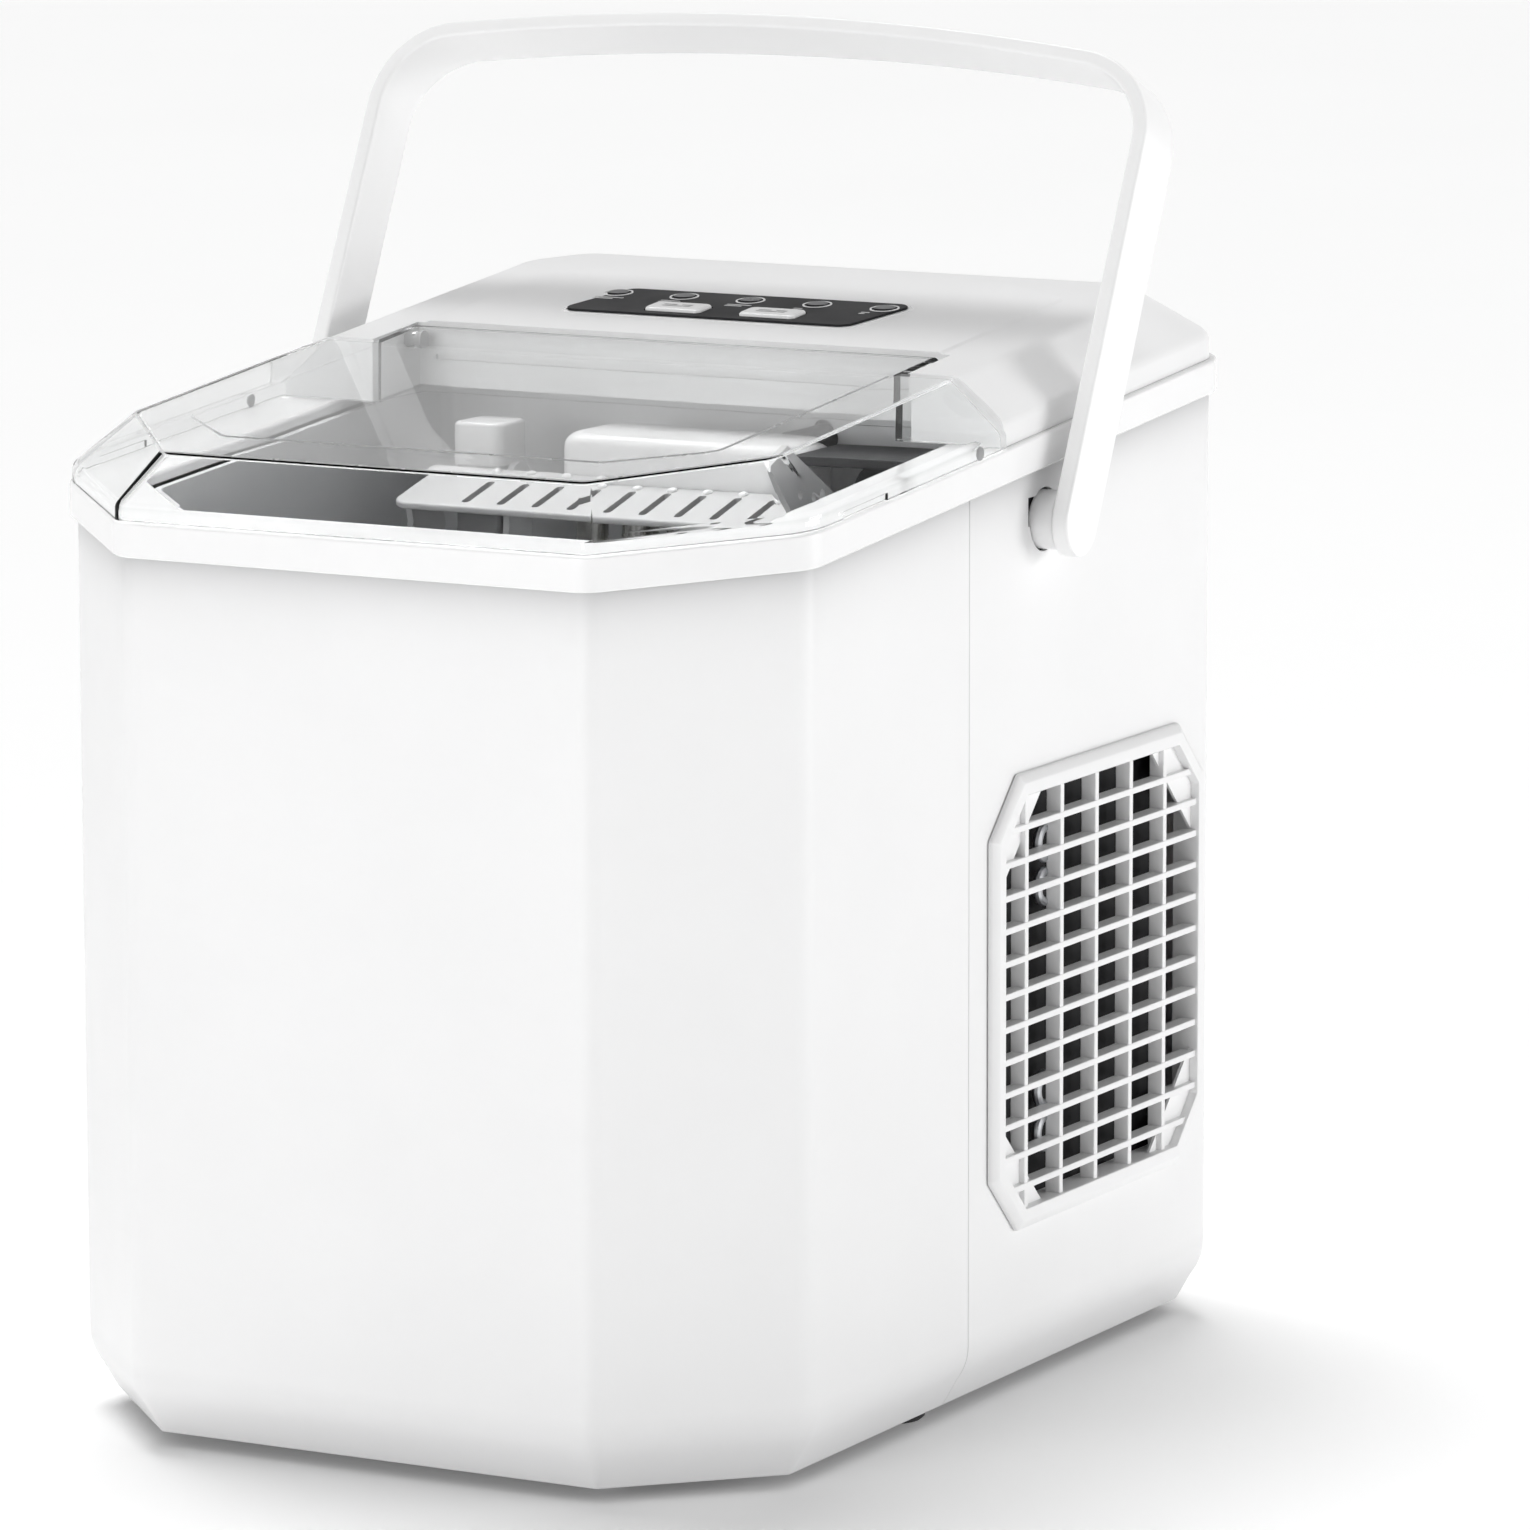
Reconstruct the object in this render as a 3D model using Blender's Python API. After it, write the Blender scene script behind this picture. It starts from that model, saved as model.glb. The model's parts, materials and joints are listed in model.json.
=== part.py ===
"""Countertop bullet-ice maker, built as separate named pieces.

All dimensions are in millimetres until an object is made, and heights are measured from the
casing's bottom edge.  The finished objects are in metres, +Z up, -Y is the front, and the
origin is on the ground under the middle of the machine.
"""
import math

import bmesh
import bpy
from mathutils import Matrix, Vector

MM = 0.001
GAP = 0.3                      # clearance between pieces that touch

# Casing
HALF_W = 111.0
HALF_D = 153.0
FRONT_CUT = 41.5               # the two front corners are cut at 45 degrees
REAR_CUT = 28.0
CORNER_R = 9.0
WALL = 2.5
SEAM_Y = -22.0                 # where the front and rear casings meet
CHAMFER_H = 14.0
CHAMFER_IN = 7.5
FOOT_H = 4.0

# Rim and top planes, both rising towards the back
RIM_TOP = 245.0
RIM_SLOPE = 0.083
RIM_H = 9.4
RIM_OVERHANG = 2.15
RIM_PLATE = 3.0
LEDGE_W = 19.5
TUB_REAR_Y = 50.0
TOP_AT_SPLIT = 275.9
TOP_SLOPE = 0.096
SPLIT_Y = -3.0                 # where the lid's sides end and the housing's arms begin
PANEL_RISE = 0.6               # the middle of the top stands this much proud
RIDGE_X = 97.7
RIDGE_FRONT = (63.5, -143.6)
RIDGE_SIDE_Y = -103.0
RIDGE_REAR_Y = 108.0
RIDGE_BACK = (86.0, 122.0)
CREASE_X = 80.0

# Lid
LID_WALL = 2.0
LID_LIP = 4.5
LID_REAR_GAP = 0.6             # lets the lid's rear edge swing past the housing
TONGUE_X = 81.0
HINGE = (15.0, 273.0)          # y and height of the lid's axis
HINGE_R = 5.0
TONGUE_DROP = 15.0
PIN_R = 2.2

# Housing
HOUSING_X = 111.4
HOUSING_WALL_H = 7.0
BAY_X = 83.3                   # the bay between the arms that takes the lid's tongue
BAY_Y = 21.0
PANEL_Y = (42.0, 72.0)
PANEL_X = (-50.0, 46.0)
PANEL_SKEW = 6.0
BUTTON_X = (-16.6, 13.0)
BUTTON_Y = 50.0
BUTTON_SIZE = (17.5, 9.0)
BUTTON_TRAVEL = 1.0
LIGHT_X = (-44.0, -23.0, -2.0, 19.0, 40.0)
LIGHT_Y = 65.0
LIGHT_R = 3.2

# Handle
PIVOT = (22.2, 235.4)
LEAN = math.radians(25.6)
LEG_IN = 117.6
LEG_OUT = 122.5
LEG_DEPTH = 19.0
LEG_STRAIGHT = 105.2           # from the pivot to where the bend begins
GRIP_DEPTH = 23.0
BAR_T = 4.1
BEND_R = 23.15
BEND_X = 96.9
BAR_SLOPE = math.radians(7.0)  # the bar's slope where it leaves each bend
HUB_R = 8.0
SHAFT_R = 4.0

# Grilles
GRILLE_Y = (-11.2, 118.8)
GRILLE_Z = (43.5, 168.5)
GRILLE_CUT = 16.0
GRILLE_FRAME = 6.0
GRILLE_PROUD = 2.8
FIN_Y = [8.6 + 21.15 * k for k in range(5)]
FIN_Z = [55.4 + 8.95 * k for k in range(12)]
FIN_DEPTH = 4.4

# Tub, basket and ice mechanism
TUB_X = 92.0
TUB_FRONT_Y = -134.5
TUB_SPLIT_Y = -15.0
TUB_FLOOR = 40.0
TUB_LEDGE = 92.0
TUB_SHELF = 188.0
TUB_WALL = 2.0
TRAY_AXIS = (10.0, 236.0)
TRAY_X = (-44.0, 58.0)
TRAY_R = 34.0
TRAY_WALL = 2.0
TRAY_HALF_ARC = math.radians(60.0)
SHOVEL_FRONT = (-30.0, 234.0)
SHOVEL_DEPTH = 24.0
SHOVEL_X = 62.0
SHOVEL_PITCH = math.radians(15.0)
SHOVEL_FLANGE = 20.0
SHOVEL_SLOTS = 9
SLOT_PITCH = 10.9
SLOT_MIDDLE = 3.4
DRIVE_ARM = [(-23.5, 235.5), (-8.0, 236.0), (-7.0, 243.0), (-32.0, 257.5), (-40.0, 254.5)]
DRIVE_HOLES = [(-22.5, 245.3), (-14.0, 243.5)]
EVAPORATOR_X = (-22.0, 44.0)
COVER_TOP = 252.5
BASKET_Y = (-127.0, -53.0)
BASKET_Z = (93.0, 205.0)
BASKET_X = 84.0
BASKET_WALL = 1.8
FINGER_R = 4.5
FINGER_TIP = 206.0

# Water system
DRAIN = (0.0, -75.0)           # x and y of the drain in the floor of the tub
PUMP = (45.0, -60.0)

# Refrigeration
COMPRESSOR = (-36.0, 94.0)
COMPRESSOR_R = 45.0
CONDENSER_X = (88.0, 105.5)
CONDENSER_Y = (-6.0, 102.0)
CONDENSER_Z = (46.0, 160.0)
FAN_CENTRE = (50.0, 104.0)
FAN_R = 42.0
FAN_BLADES = 7

# Power inlet
INLET_X = (-84.0, -54.0)
INLET_Z = (22.0, 48.0)
INLET_FLANGE = 3.5             # how far the flange laps over the wall
INLET_PINS = (-73.0, -69.0, -65.0)

COLOURS = {
    "white_plastic": ((0.86, 0.86, 0.86), 0.38, 0.0),
    "gloss_white": ((0.92, 0.92, 0.92), 0.15, 0.0),
    "clear": ((0.85, 0.88, 0.9), 0.03, 0.0),
    "black_plastic": ((0.02, 0.02, 0.02), 0.4, 0.0),
    "panel_grey": ((0.045, 0.045, 0.05), 0.3, 0.0),
    "grey_plastic": ((0.45, 0.46, 0.47), 0.45, 0.0),
    "pale_grey": ((0.7, 0.71, 0.72), 0.4, 0.0),
    "rubber": ((0.015, 0.015, 0.015), 0.8, 0.0),
    "steel": ((0.6, 0.61, 0.62), 0.3, 1.0),
    "nickel": ((0.7, 0.69, 0.66), 0.2, 1.0),
    "copper": ((0.72, 0.35, 0.2), 0.3, 1.0),

    "black_steel": ((0.02, 0.02, 0.022), 0.45, 0.6),
    "board_green": ((0.02, 0.16, 0.07), 0.5, 0.0),
    "silicone": ((0.8, 0.8, 0.78), 0.5, 0.0),
}


# Heights of the sloping planes

def rim_height(y):
    return RIM_TOP + RIM_SLOPE * (y + HALF_D)


def top_height(y):
    return TOP_AT_SPLIT + TOP_SLOPE * (y - SPLIT_Y)


# Shape helpers

def clear_scene():
    for obj in list(bpy.data.objects):
        bpy.data.objects.remove(obj)


def material(slot):
    found = bpy.data.materials.get(slot)
    if found:
        return found
    colour, roughness, metallic = COLOURS[slot]
    made = bpy.data.materials.new(slot)
    made.use_nodes = True
    shader = made.node_tree.nodes["Principled BSDF"]
    shader.inputs["Base Color"].default_value = (*colour, 1.0)
    shader.inputs["Roughness"].default_value = roughness
    shader.inputs["Metallic"].default_value = metallic
    if slot == "clear":
        shader.inputs["Transmission Weight"].default_value = 1.0
    return made


def add(name, bm, slot="white_plastic"):
    """Turns a bmesh in millimetres into an object in metres standing on its feet."""
    bmesh.ops.recalc_face_normals(bm, faces=bm.faces)
    bmesh.ops.translate(bm, vec=(0, 0, FOOT_H), verts=bm.verts)
    bmesh.ops.scale(bm, vec=(MM, MM, MM), verts=bm.verts)
    mesh = bpy.data.meshes.new(name)
    bm.to_mesh(mesh)
    bm.free()
    obj = bpy.data.objects.new(name, mesh)
    bpy.context.scene.collection.objects.link(obj)
    mesh.materials.append(material(slot))
    return obj


def loft(loops):
    """Closed body through loops of equal length, capped at both ends."""
    bm = bmesh.new()
    rows = []
    for loop in loops:
        rows.append([bm.verts.new(point) for point in loop])
    for low, high in zip(rows, rows[1:]):
        for i in range(len(low)):
            j = (i + 1) % len(low)
            bm.faces.new((low[i], low[j], high[j], high[i]))
    bm.faces.new(list(reversed(rows[0])))
    bm.faces.new(rows[-1])
    return bm


def fillet(corners, radius, segments=3):
    """Closed outline with every corner rounded by a tangent arc."""
    outline = []
    count = len(corners)
    radii = radius if isinstance(radius, (list, tuple)) else [radius] * count
    for i, corner in enumerate(corners):
        here = Vector(corner)
        to_before = (Vector(corners[i - 1]) - here).normalized()
        to_after = (Vector(corners[(i + 1) % count]) - here).normalized()
        half = to_before.angle(to_after) / 2
        centre = here + (to_before + to_after).normalized() * radii[i] / math.sin(half)
        start = here + to_before * radii[i] / math.tan(half) - centre
        end = here + to_after * radii[i] / math.tan(half) - centre
        first = math.atan2(start.y, start.x)
        turn = math.atan2(end.y, end.x) - first
        turn = (turn + math.pi) % (2 * math.pi) - math.pi
        for k in range(segments + 1):
            angle = first + turn * k / segments
            outline.append((centre.x + radii[i] * math.cos(angle),
                            centre.y + radii[i] * math.sin(angle)))
    return outline


def grow(corners, distance):
    """Moves each edge of a counter-clockwise polygon outwards."""
    moved = []
    count = len(corners)
    for i, corner in enumerate(corners):
        here = Vector(corner)
        edge_in = (here - Vector(corners[i - 1])).normalized()
        edge_out = (Vector(corners[(i + 1) % count]) - here).normalized()
        normal_in = Vector((edge_in.y, -edge_in.x))
        normal_out = Vector((edge_out.y, -edge_out.x))
        step = (normal_in + normal_out) / (1 + normal_in.dot(normal_out))
        moved.append(tuple(here + step * distance))
    return moved


def raise_to(outline, height):
    """Lifts a flat outline to a height, which may be a function of y."""
    if callable(height):
        return [(x, y, height(y)) for x, y in outline]
    return [(x, y, height) for x, y in outline]


def prism(outline, low, high):
    return loft([raise_to(outline, low), raise_to(outline, high)])


def rectangle(x_range, y_range):
    return [(x_range[0], y_range[0]), (x_range[1], y_range[0]),
            (x_range[1], y_range[1]), (x_range[0], y_range[1])]


def block(x_range, y_range, z_range):
    return prism(rectangle(x_range, y_range), z_range[0], z_range[1])


def side_prism(profile, x_range):
    """Extrudes an outline given in y and z along x."""
    return loft([[(x, y, z) for y, z in profile] for x in x_range])


def rod(start, end, radius, sides=16, end_radius=None):
    """Round bar between two points."""
    start = Vector(start)
    end = Vector(end)
    axis = (end - start).normalized()
    helper = Vector((0, 0, 1)) if abs(axis.z) < 0.9 else Vector((1, 0, 0))
    u = axis.cross(helper).normalized()
    v = axis.cross(u)
    loops = []
    for centre, r in ((start, radius), (end, end_radius or radius)):
        loop = []
        for k in range(sides):
            angle = 2 * math.pi * k / sides
            loop.append(centre + u * r * math.cos(angle) + v * r * math.sin(angle))
        loops.append(loop)
    return loft(loops)


def turned(profile, centre, sides=28):
    """Solid of revolution about a vertical axis from (radius, height) pairs."""
    loops = []
    for radius, height in profile:
        loop = []
        for k in range(sides):
            angle = 2 * math.pi * k / sides
            loop.append((centre[0] + radius * math.cos(angle),
                         centre[1] + radius * math.sin(angle), height))
        loops.append(loop)
    return loft(loops)


def arc(centre, radius, start, end, steps):
    """Points of an arc; angle 0 points straight down and positive angles go to +Y."""
    points = []
    for k in range(steps + 1):
        angle = start + (end - start) * k / steps
        points.append((centre[0] + radius * math.sin(angle),
                       centre[1] - radius * math.cos(angle)))
    return points


def combine(base, other, operation):
    """Applies an exact boolean and removes the operand."""
    if not isinstance(other, bpy.types.Object):
        other = add("operand", other)
    step = base.modifiers.new(operation, "BOOLEAN")
    step.operation = operation
    step.object = other
    step.solver = "EXACT"
    graph = bpy.context.evaluated_depsgraph_get()
    result = bpy.data.meshes.new_from_object(base.evaluated_get(graph))
    base.modifiers.clear()
    base.data = result
    bpy.data.objects.remove(other)
    return base


def cut(base, *others):
    for other in others:
        combine(base, other, "DIFFERENCE")
    return base


def join(base, *others):
    for other in others:
        combine(base, other, "UNION")
    return base


def smooth(obj, degrees=32):
    obj.data.shade_smooth()
    obj.data.set_sharp_from_angle(angle=math.radians(degrees))
    return obj


def origin_at(obj, x, y, z):
    """Puts the object's origin on its joint without moving its shape."""
    place = Vector((x, y, z + FOOT_H)) * MM
    obj.data.transform(Matrix.Translation(-place))
    obj.location = place
    return obj


def tube(name, points, radius, slot):
    """Bent pipe along points, as a curve with round section and closed ends."""
    curve = bpy.data.curves.new(name, "CURVE")
    curve.dimensions = "3D"
    curve.bevel_depth = radius * MM
    curve.bevel_resolution = 2
    curve.use_fill_caps = True
    spline = curve.splines.new("POLY")
    route = soften(points)
    spline.points.add(len(route) - 1)
    for spot, point in zip(spline.points, route):
        spot.co = (point.x * MM, point.y * MM, (point.z + FOOT_H) * MM, 1)
    obj = bpy.data.objects.new(name, curve)
    bpy.context.scene.collection.objects.link(obj)
    curve.materials.append(material(slot))
    return obj


def soften(points, bend=12.0, steps=5):
    """Route with each inner corner replaced by a quadratic bend."""
    corners = [Vector(p) for p in points]
    route = [corners[0]]
    for before, here, after in zip(corners, corners[1:], corners[2:]):
        reach = min(bend, (before - here).length * 0.45, (after - here).length * 0.45)
        a = here + (before - here).normalized() * reach
        b = here + (after - here).normalized() * reach
        for k in range(steps + 1):
            t = k / steps
            route.append(a * (1 - t) ** 2 + here * 2 * t * (1 - t) + b * t ** 2)
    route.append(corners[-1])
    return route


# Outlines

def casing_corners():
    """Counter-clockwise from the rear right side."""
    return [(HALF_W, HALF_D - REAR_CUT), (HALF_W - REAR_CUT, HALF_D),
            (-HALF_W + REAR_CUT, HALF_D), (-HALF_W, HALF_D - REAR_CUT),
            (-HALF_W, -HALF_D + FRONT_CUT), (-HALF_W + FRONT_CUT, -HALF_D),
            (HALF_W - FRONT_CUT, -HALF_D), (HALF_W, -HALF_D + FRONT_CUT)]


def casing_outline(offset):
    return fillet(grow(casing_corners(), offset), max(CORNER_R + offset, 1.0))


def shell_loop(offset, front):
    """U-shaped section of one casing half, from the seam round to the seam."""
    def half(distance):
        points = casing_outline(distance)
        if front:
            kept = [p for p in points if p[1] < SEAM_Y]
            edge = SEAM_Y
        else:
            kept = [p for p in points if p[1] > SEAM_Y]
            edge = SEAM_Y + GAP
        side = HALF_W + distance
        if front:
            return [(-side, edge)] + kept + [(side, edge)]
        wrapped = sorted(kept, key=lambda p: math.atan2(p[1] - SEAM_Y, p[0]))
        return [(side, edge)] + wrapped + [(-side, edge)]
    return half(offset) + list(reversed(half(offset - WALL)))


def shell_body(front):
    def shell_top(y):
        return rim_height(y) - RIM_PLATE - GAP
    levels = ((0.0, -CHAMFER_IN), (CHAMFER_H - 3.0, -CHAMFER_IN * 0.16),
              (CHAMFER_H + 2.5, 0.0), (shell_top, 0.0))
    return loft([raise_to(shell_loop(offset, front), height) for height, offset in levels])


def tub_corners(rear_y, half_x=TUB_X, front_y=TUB_FRONT_Y):
    cut_size = FRONT_CUT - 10.0
    return [(half_x, rear_y), (-half_x, rear_y),
            (-half_x, front_y + cut_size), (-half_x + cut_size, front_y),
            (half_x - cut_size, front_y), (half_x, front_y + cut_size)]


# Casing, rim and feet

def make_casing():
    smooth(add("front_shell", shell_body(True)))
    rear = add("rear_shell", shell_body(False))
    for side in (-1, 1):
        window = side_prism(grille_outline(-GRILLE_FRAME * 0.5),
                            sorted((side * (HALF_W - 6), side * (HALF_W + 4))))
        cut(rear, window)
        cut(rear, rod((side * (HALF_W - 6), *PIVOT), (side * (HALF_W + 4), *PIVOT),
                      SHAFT_R + GAP, 20))
        notch = block(sorted((side * (HALF_W - 6), side * (HALF_W + 4))),
                      (PIVOT[0] - 9.4, PIVOT[0] + 0.5), (PIVOT[1] - 1.0, PIVOT[1] + 6.8))
        cut(rear, notch)
    across, up = inlet_body(GAP)
    cut(rear, block(across, (HALF_D - 8, HALF_D + 4), up))
    smooth(rear)


def make_base():
    plate = add("base_plate", prism(casing_outline(-CHAMFER_IN - WALL - 0.5), 0.0, 3.0))
    cut(plate, rod((*DRAIN, -2), (*DRAIN, 5), 9.3, 24))
    for x, y in screw_places():
        cut(plate, rod((x, y, -2), (x, y, 5), 2.3, 12))
    smooth(plate)
    for x, y, name in foot_places():
        smooth(add(name, turned(((8.0, -FOOT_H), (9.0, -3.0), (9.5, -GAP)), (x, y), 20), "rubber"))
    for index, (x, y) in enumerate(screw_places(), 1):
        screw = add(f"base_screw_{index}", rod((x, y, -1.8), (x, y, -GAP), 3.6, 14), "steel")
        join(screw, rod((x, y, -0.6), (x, y, 10), 2.0, 12))
        smooth(screw)


def foot_places():
    return [(66, -100, "foot_front_right"), (-66, -100, "foot_front_left"),
            (90, -26, "foot_middle_right"), (-90, -26, "foot_middle_left"),
            (80, 118, "foot_rear_right"), (-80, 118, "foot_rear_left")]


def screw_places():
    return [(60, -128), (-60, -128), (60, 132), (-60, 132)]


def make_rim():
    def under(y):
        return rim_height(y) - RIM_H
    def plate_bottom(y):
        return rim_height(y) - RIM_PLATE
    edge = 0.8
    outer = casing_outline(RIM_OVERHANG)
    eased = casing_outline(RIM_OVERHANG - edge)
    body = loft([raise_to(outer, under), raise_to(outer, lambda y: rim_height(y) - edge),
                 raise_to(eased, rim_height)])
    rim = add("rim_frame", body, "gloss_white")
    cut(rim, prism(casing_outline(0.35), 200.0, plate_bottom))
    ledge = grow(casing_corners(), RIM_OVERHANG - LEDGE_W)
    opening = [(HALF_W - LEDGE_W + RIM_OVERHANG, TUB_REAR_Y - 4),
               (-HALF_W + LEDGE_W - RIM_OVERHANG, TUB_REAR_Y - 4)] + ledge[4:]
    cut(rim, prism(fillet(opening, 5.0), 200.0, 300.0))
    smooth(rim)


# Lid

def ridge_corners(inset=0.0):
    """The lid's upper edge, open sides first, from the rear right going round the front."""
    rear = SPLIT_Y - LID_REAR_GAP
    corners = [(RIDGE_X, rear), (-RIDGE_X, rear), (-RIDGE_X, RIDGE_SIDE_Y),
               (-RIDGE_FRONT[0], RIDGE_FRONT[1]), RIDGE_FRONT, (RIDGE_X, RIDGE_SIDE_Y)]
    return grow(corners, -inset)


def lid_foot_corners(inset=0.0):
    side = HALF_W + RIM_OVERHANG
    front = HALF_D + RIM_OVERHANG
    diagonal = FRONT_CUT + RIM_OVERHANG * (math.sqrt(2) - 1) * math.sqrt(2)
    rear = SPLIT_Y - LID_REAR_GAP
    corners = [(side, rear), (-side, rear), (-side, -front + diagonal),
               (-side + diagonal, -front), (side - diagonal, -front), (side, -front + diagonal)]
    return grow(corners, -inset)


def lid_dome(inset, drop, floor):
    """Bulk of the lid: upright lip, steep bevel and sloping top."""
    radii = [1.0, 1.0, 20.0, 5.0, 5.0, 20.0]
    foot = fillet(lid_foot_corners(0.2 + inset), radii)
    ridge = fillet(ridge_corners(inset * 0.8), [1.0, 1.0, 12.0, 4.0, 4.0, 12.0])
    return loft([raise_to(foot, lambda y: rim_height(y) + floor),
                 raise_to(foot, lambda y: rim_height(y) + LID_LIP - drop * 0.4),
                 raise_to(ridge, lambda y: top_height(y) - drop)])


def tongue_profile(shrink, floor):
    """Side outline of the lid's rear tongue, rounded about the hinge."""
    y, z = HINGE
    front = SPLIT_Y - 9.0 + shrink
    round_back = arc(HINGE, HINGE_R - shrink, math.radians(90), math.radians(180), 6)
    top_front = top_height(front) - shrink
    return [(front, z - TONGUE_DROP - floor), (y + HINGE_R - shrink, z - TONGUE_DROP - floor),
            *round_back, (front, top_front)]


def make_lid():
    lid = add("lid", lid_dome(0.0, 0.0, GAP), "clear")
    join(lid, side_prism(tongue_profile(0.0, 0.0), (-TONGUE_X, TONGUE_X)))
    cut(lid, lid_dome(LID_WALL, LID_WALL, -5.0))
    inner = side_prism(tongue_profile(LID_WALL, 6.0), (-TONGUE_X + LID_WALL, TONGUE_X - LID_WALL))
    cut(lid, inner)
    panel = fillet([(CREASE_X - 0.5, -8.0), (-CREASE_X + 0.5, -8.0), (-CREASE_X + 0.5, -103.5),
                    (-57.0, -123.5), (57.0, -123.5), (CREASE_X - 0.5, -103.5)],
                   [2.0, 2.0, 10.0, 5.0, 5.0, 10.0])
    raised = loft([raise_to(panel, lambda y: top_height(y) - 1.0),
                   raise_to(panel, lambda y: top_height(y) + PANEL_RISE)])
    join(lid, raised)
    for side in (-1, 1):
        cut(lid, rod((side * (TONGUE_X - 6), *HINGE), (side * (TONGUE_X + 3), *HINGE),
                     PIN_R + GAP, 16))
    origin_at(smooth(lid), 0, *HINGE)
    for side, name in ((-1, "lid_pin_left"), (1, "lid_pin_right")):
        head = TONGUE_X - LID_WALL - GAP
        pin = add(name, rod((side * (head - 1.2), *HINGE), (side * head, *HINGE), 2.7, 16),
                  "grey_plastic")
        join(pin, rod((side * (head - 1.0), *HINGE), (side * (TONGUE_X + 6.5), *HINGE), PIN_R, 16))
        origin_at(smooth(pin), 0, *HINGE)


# Control housing and its controls

def housing_dome(inset, drop, floor):
    side = HOUSING_X
    back = HALF_D - 0.6
    foot = [(side, back - REAR_CUT), (side - REAR_CUT, back), (-side + REAR_CUT, back),
            (-side, back - REAR_CUT), (-side, SPLIT_Y), (side, SPLIT_Y)]
    ridge = [(RIDGE_X, RIDGE_REAR_Y), RIDGE_BACK, (-RIDGE_BACK[0], RIDGE_BACK[1]),
             (-RIDGE_X, RIDGE_REAR_Y), (-RIDGE_X, SPLIT_Y), (RIDGE_X, SPLIT_Y)]
    crease = [(CREASE_X, 96.0), (48.0, 114.0), (-48.0, 114.0), (-CREASE_X, 96.0),
              (-CREASE_X, SPLIT_Y), (CREASE_X, SPLIT_Y)]
    foot = fillet(grow(foot, -inset), [CORNER_R] * 4 + [0.6, 0.6])
    ridge = fillet(grow(ridge, -inset), [10.0] * 4 + [0.6, 0.6])
    crease = fillet(grow(crease, -inset), [8.0] * 4 + [0.6, 0.6])
    return loft([raise_to(foot, lambda y: rim_height(y) + floor),
                 raise_to(foot, lambda y: rim_height(y) + HOUSING_WALL_H - drop * 0.5),
                 raise_to(ridge, lambda y: top_height(y) - drop),
                 raise_to(crease, lambda y: top_height(y) + PANEL_RISE - drop)])


def make_housing():
    housing = add("control_housing", housing_dome(0.0, 0.0, GAP))
    bay = block((-BAY_X, BAY_X), (-40, BAY_Y), (200, 320))
    cut(housing, bay)
    hollow = add("hollow", housing_dome(WALL, WALL, -5.0))
    cut(hollow, block((-BAY_X - WALL, BAY_X + WALL), (-40, BAY_Y + WALL), (200, 320)))
    cut(housing, hollow)
    for side in (-1, 1):
        cut(housing, rod((side * (BAY_X - 2), *HINGE), (side * (BAY_X + 6), *HINGE),
                         PIN_R + GAP, 16))
    for x in BUTTON_X:
        cut(housing, button_block(x, GAP, 250, 300))
    for x in LIGHT_X:
        cut(housing, rod((x, LIGHT_Y, 265), (x, LIGHT_Y, 300), LIGHT_R + GAP, 14))
    smooth(housing, 20)
    def over_rim(lift):
        return lambda y: rim_height(y) + lift
    splash = prism(rectangle((-94, 94), (BAY_Y + WALL + GAP, 62)), over_rim(GAP), over_rim(2.0))
    add("splash_panel", splash, "pale_grey")


def button_block(x, clearance, low, high):
    half_x = BUTTON_SIZE[0] / 2 + clearance
    half_y = BUTTON_SIZE[1] / 2 + clearance
    outline = fillet(rectangle((x - half_x, x + half_x), (BUTTON_Y - half_y, BUTTON_Y + half_y)),
                     1.8, 2)
    return prism(outline, low, high)


def make_controls():
    def face(lift):
        return lambda y: top_height(y) + PANEL_RISE + lift
    left, right = PANEL_X
    outline = fillet([(left, PANEL_Y[0]), (right - PANEL_SKEW, PANEL_Y[0]),
                      (right, PANEL_Y[1]), (left + PANEL_SKEW, PANEL_Y[1])], 4.0, 3)
    panel = add("control_panel", prism(outline, face(GAP), face(0.9)), "panel_grey")
    for x in BUTTON_X:
        cut(panel, button_block(x, GAP, 250, 310))
    for x in LIGHT_X:
        cut(panel, rod((x, LIGHT_Y, 265), (x, LIGHT_Y, 300), LIGHT_R + GAP, 14))
    board = add("control_board", prism(rectangle((-52, 50), (38, 76)), face(-9.0), face(-7.4)),
                "board_green")
    bar = prism(rectangle((LIGHT_X[0] - 3, LIGHT_X[-1] + 3), (LIGHT_Y - 2, LIGHT_Y + 2)),
                face(-6.5), face(-4.5))
    guide = add("light_guide", bar, "panel_grey")
    for x in LIGHT_X:
        top = face(1.1)(LIGHT_Y)
        join(guide, rod((x, LIGHT_Y, top - 6.5), (x, LIGHT_Y, top), LIGHT_R, 14))
    smooth(board)
    smooth(guide)
    for x, name in zip(BUTTON_X, ("button_left", "button_right")):
        outline = button_block(x, 0.0, face(-2.6), face(2.4))
        button = add(name, outline, "gloss_white")
        stem_top = face(-2.0)(BUTTON_Y)
        join(button, rod((x, BUTTON_Y, stem_top - 3.8), (x, BUTTON_Y, stem_top), 2.0, 12))
        origin_at(smooth(button), x, BUTTON_Y, face(0.0)(BUTTON_Y))


# Handle

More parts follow.
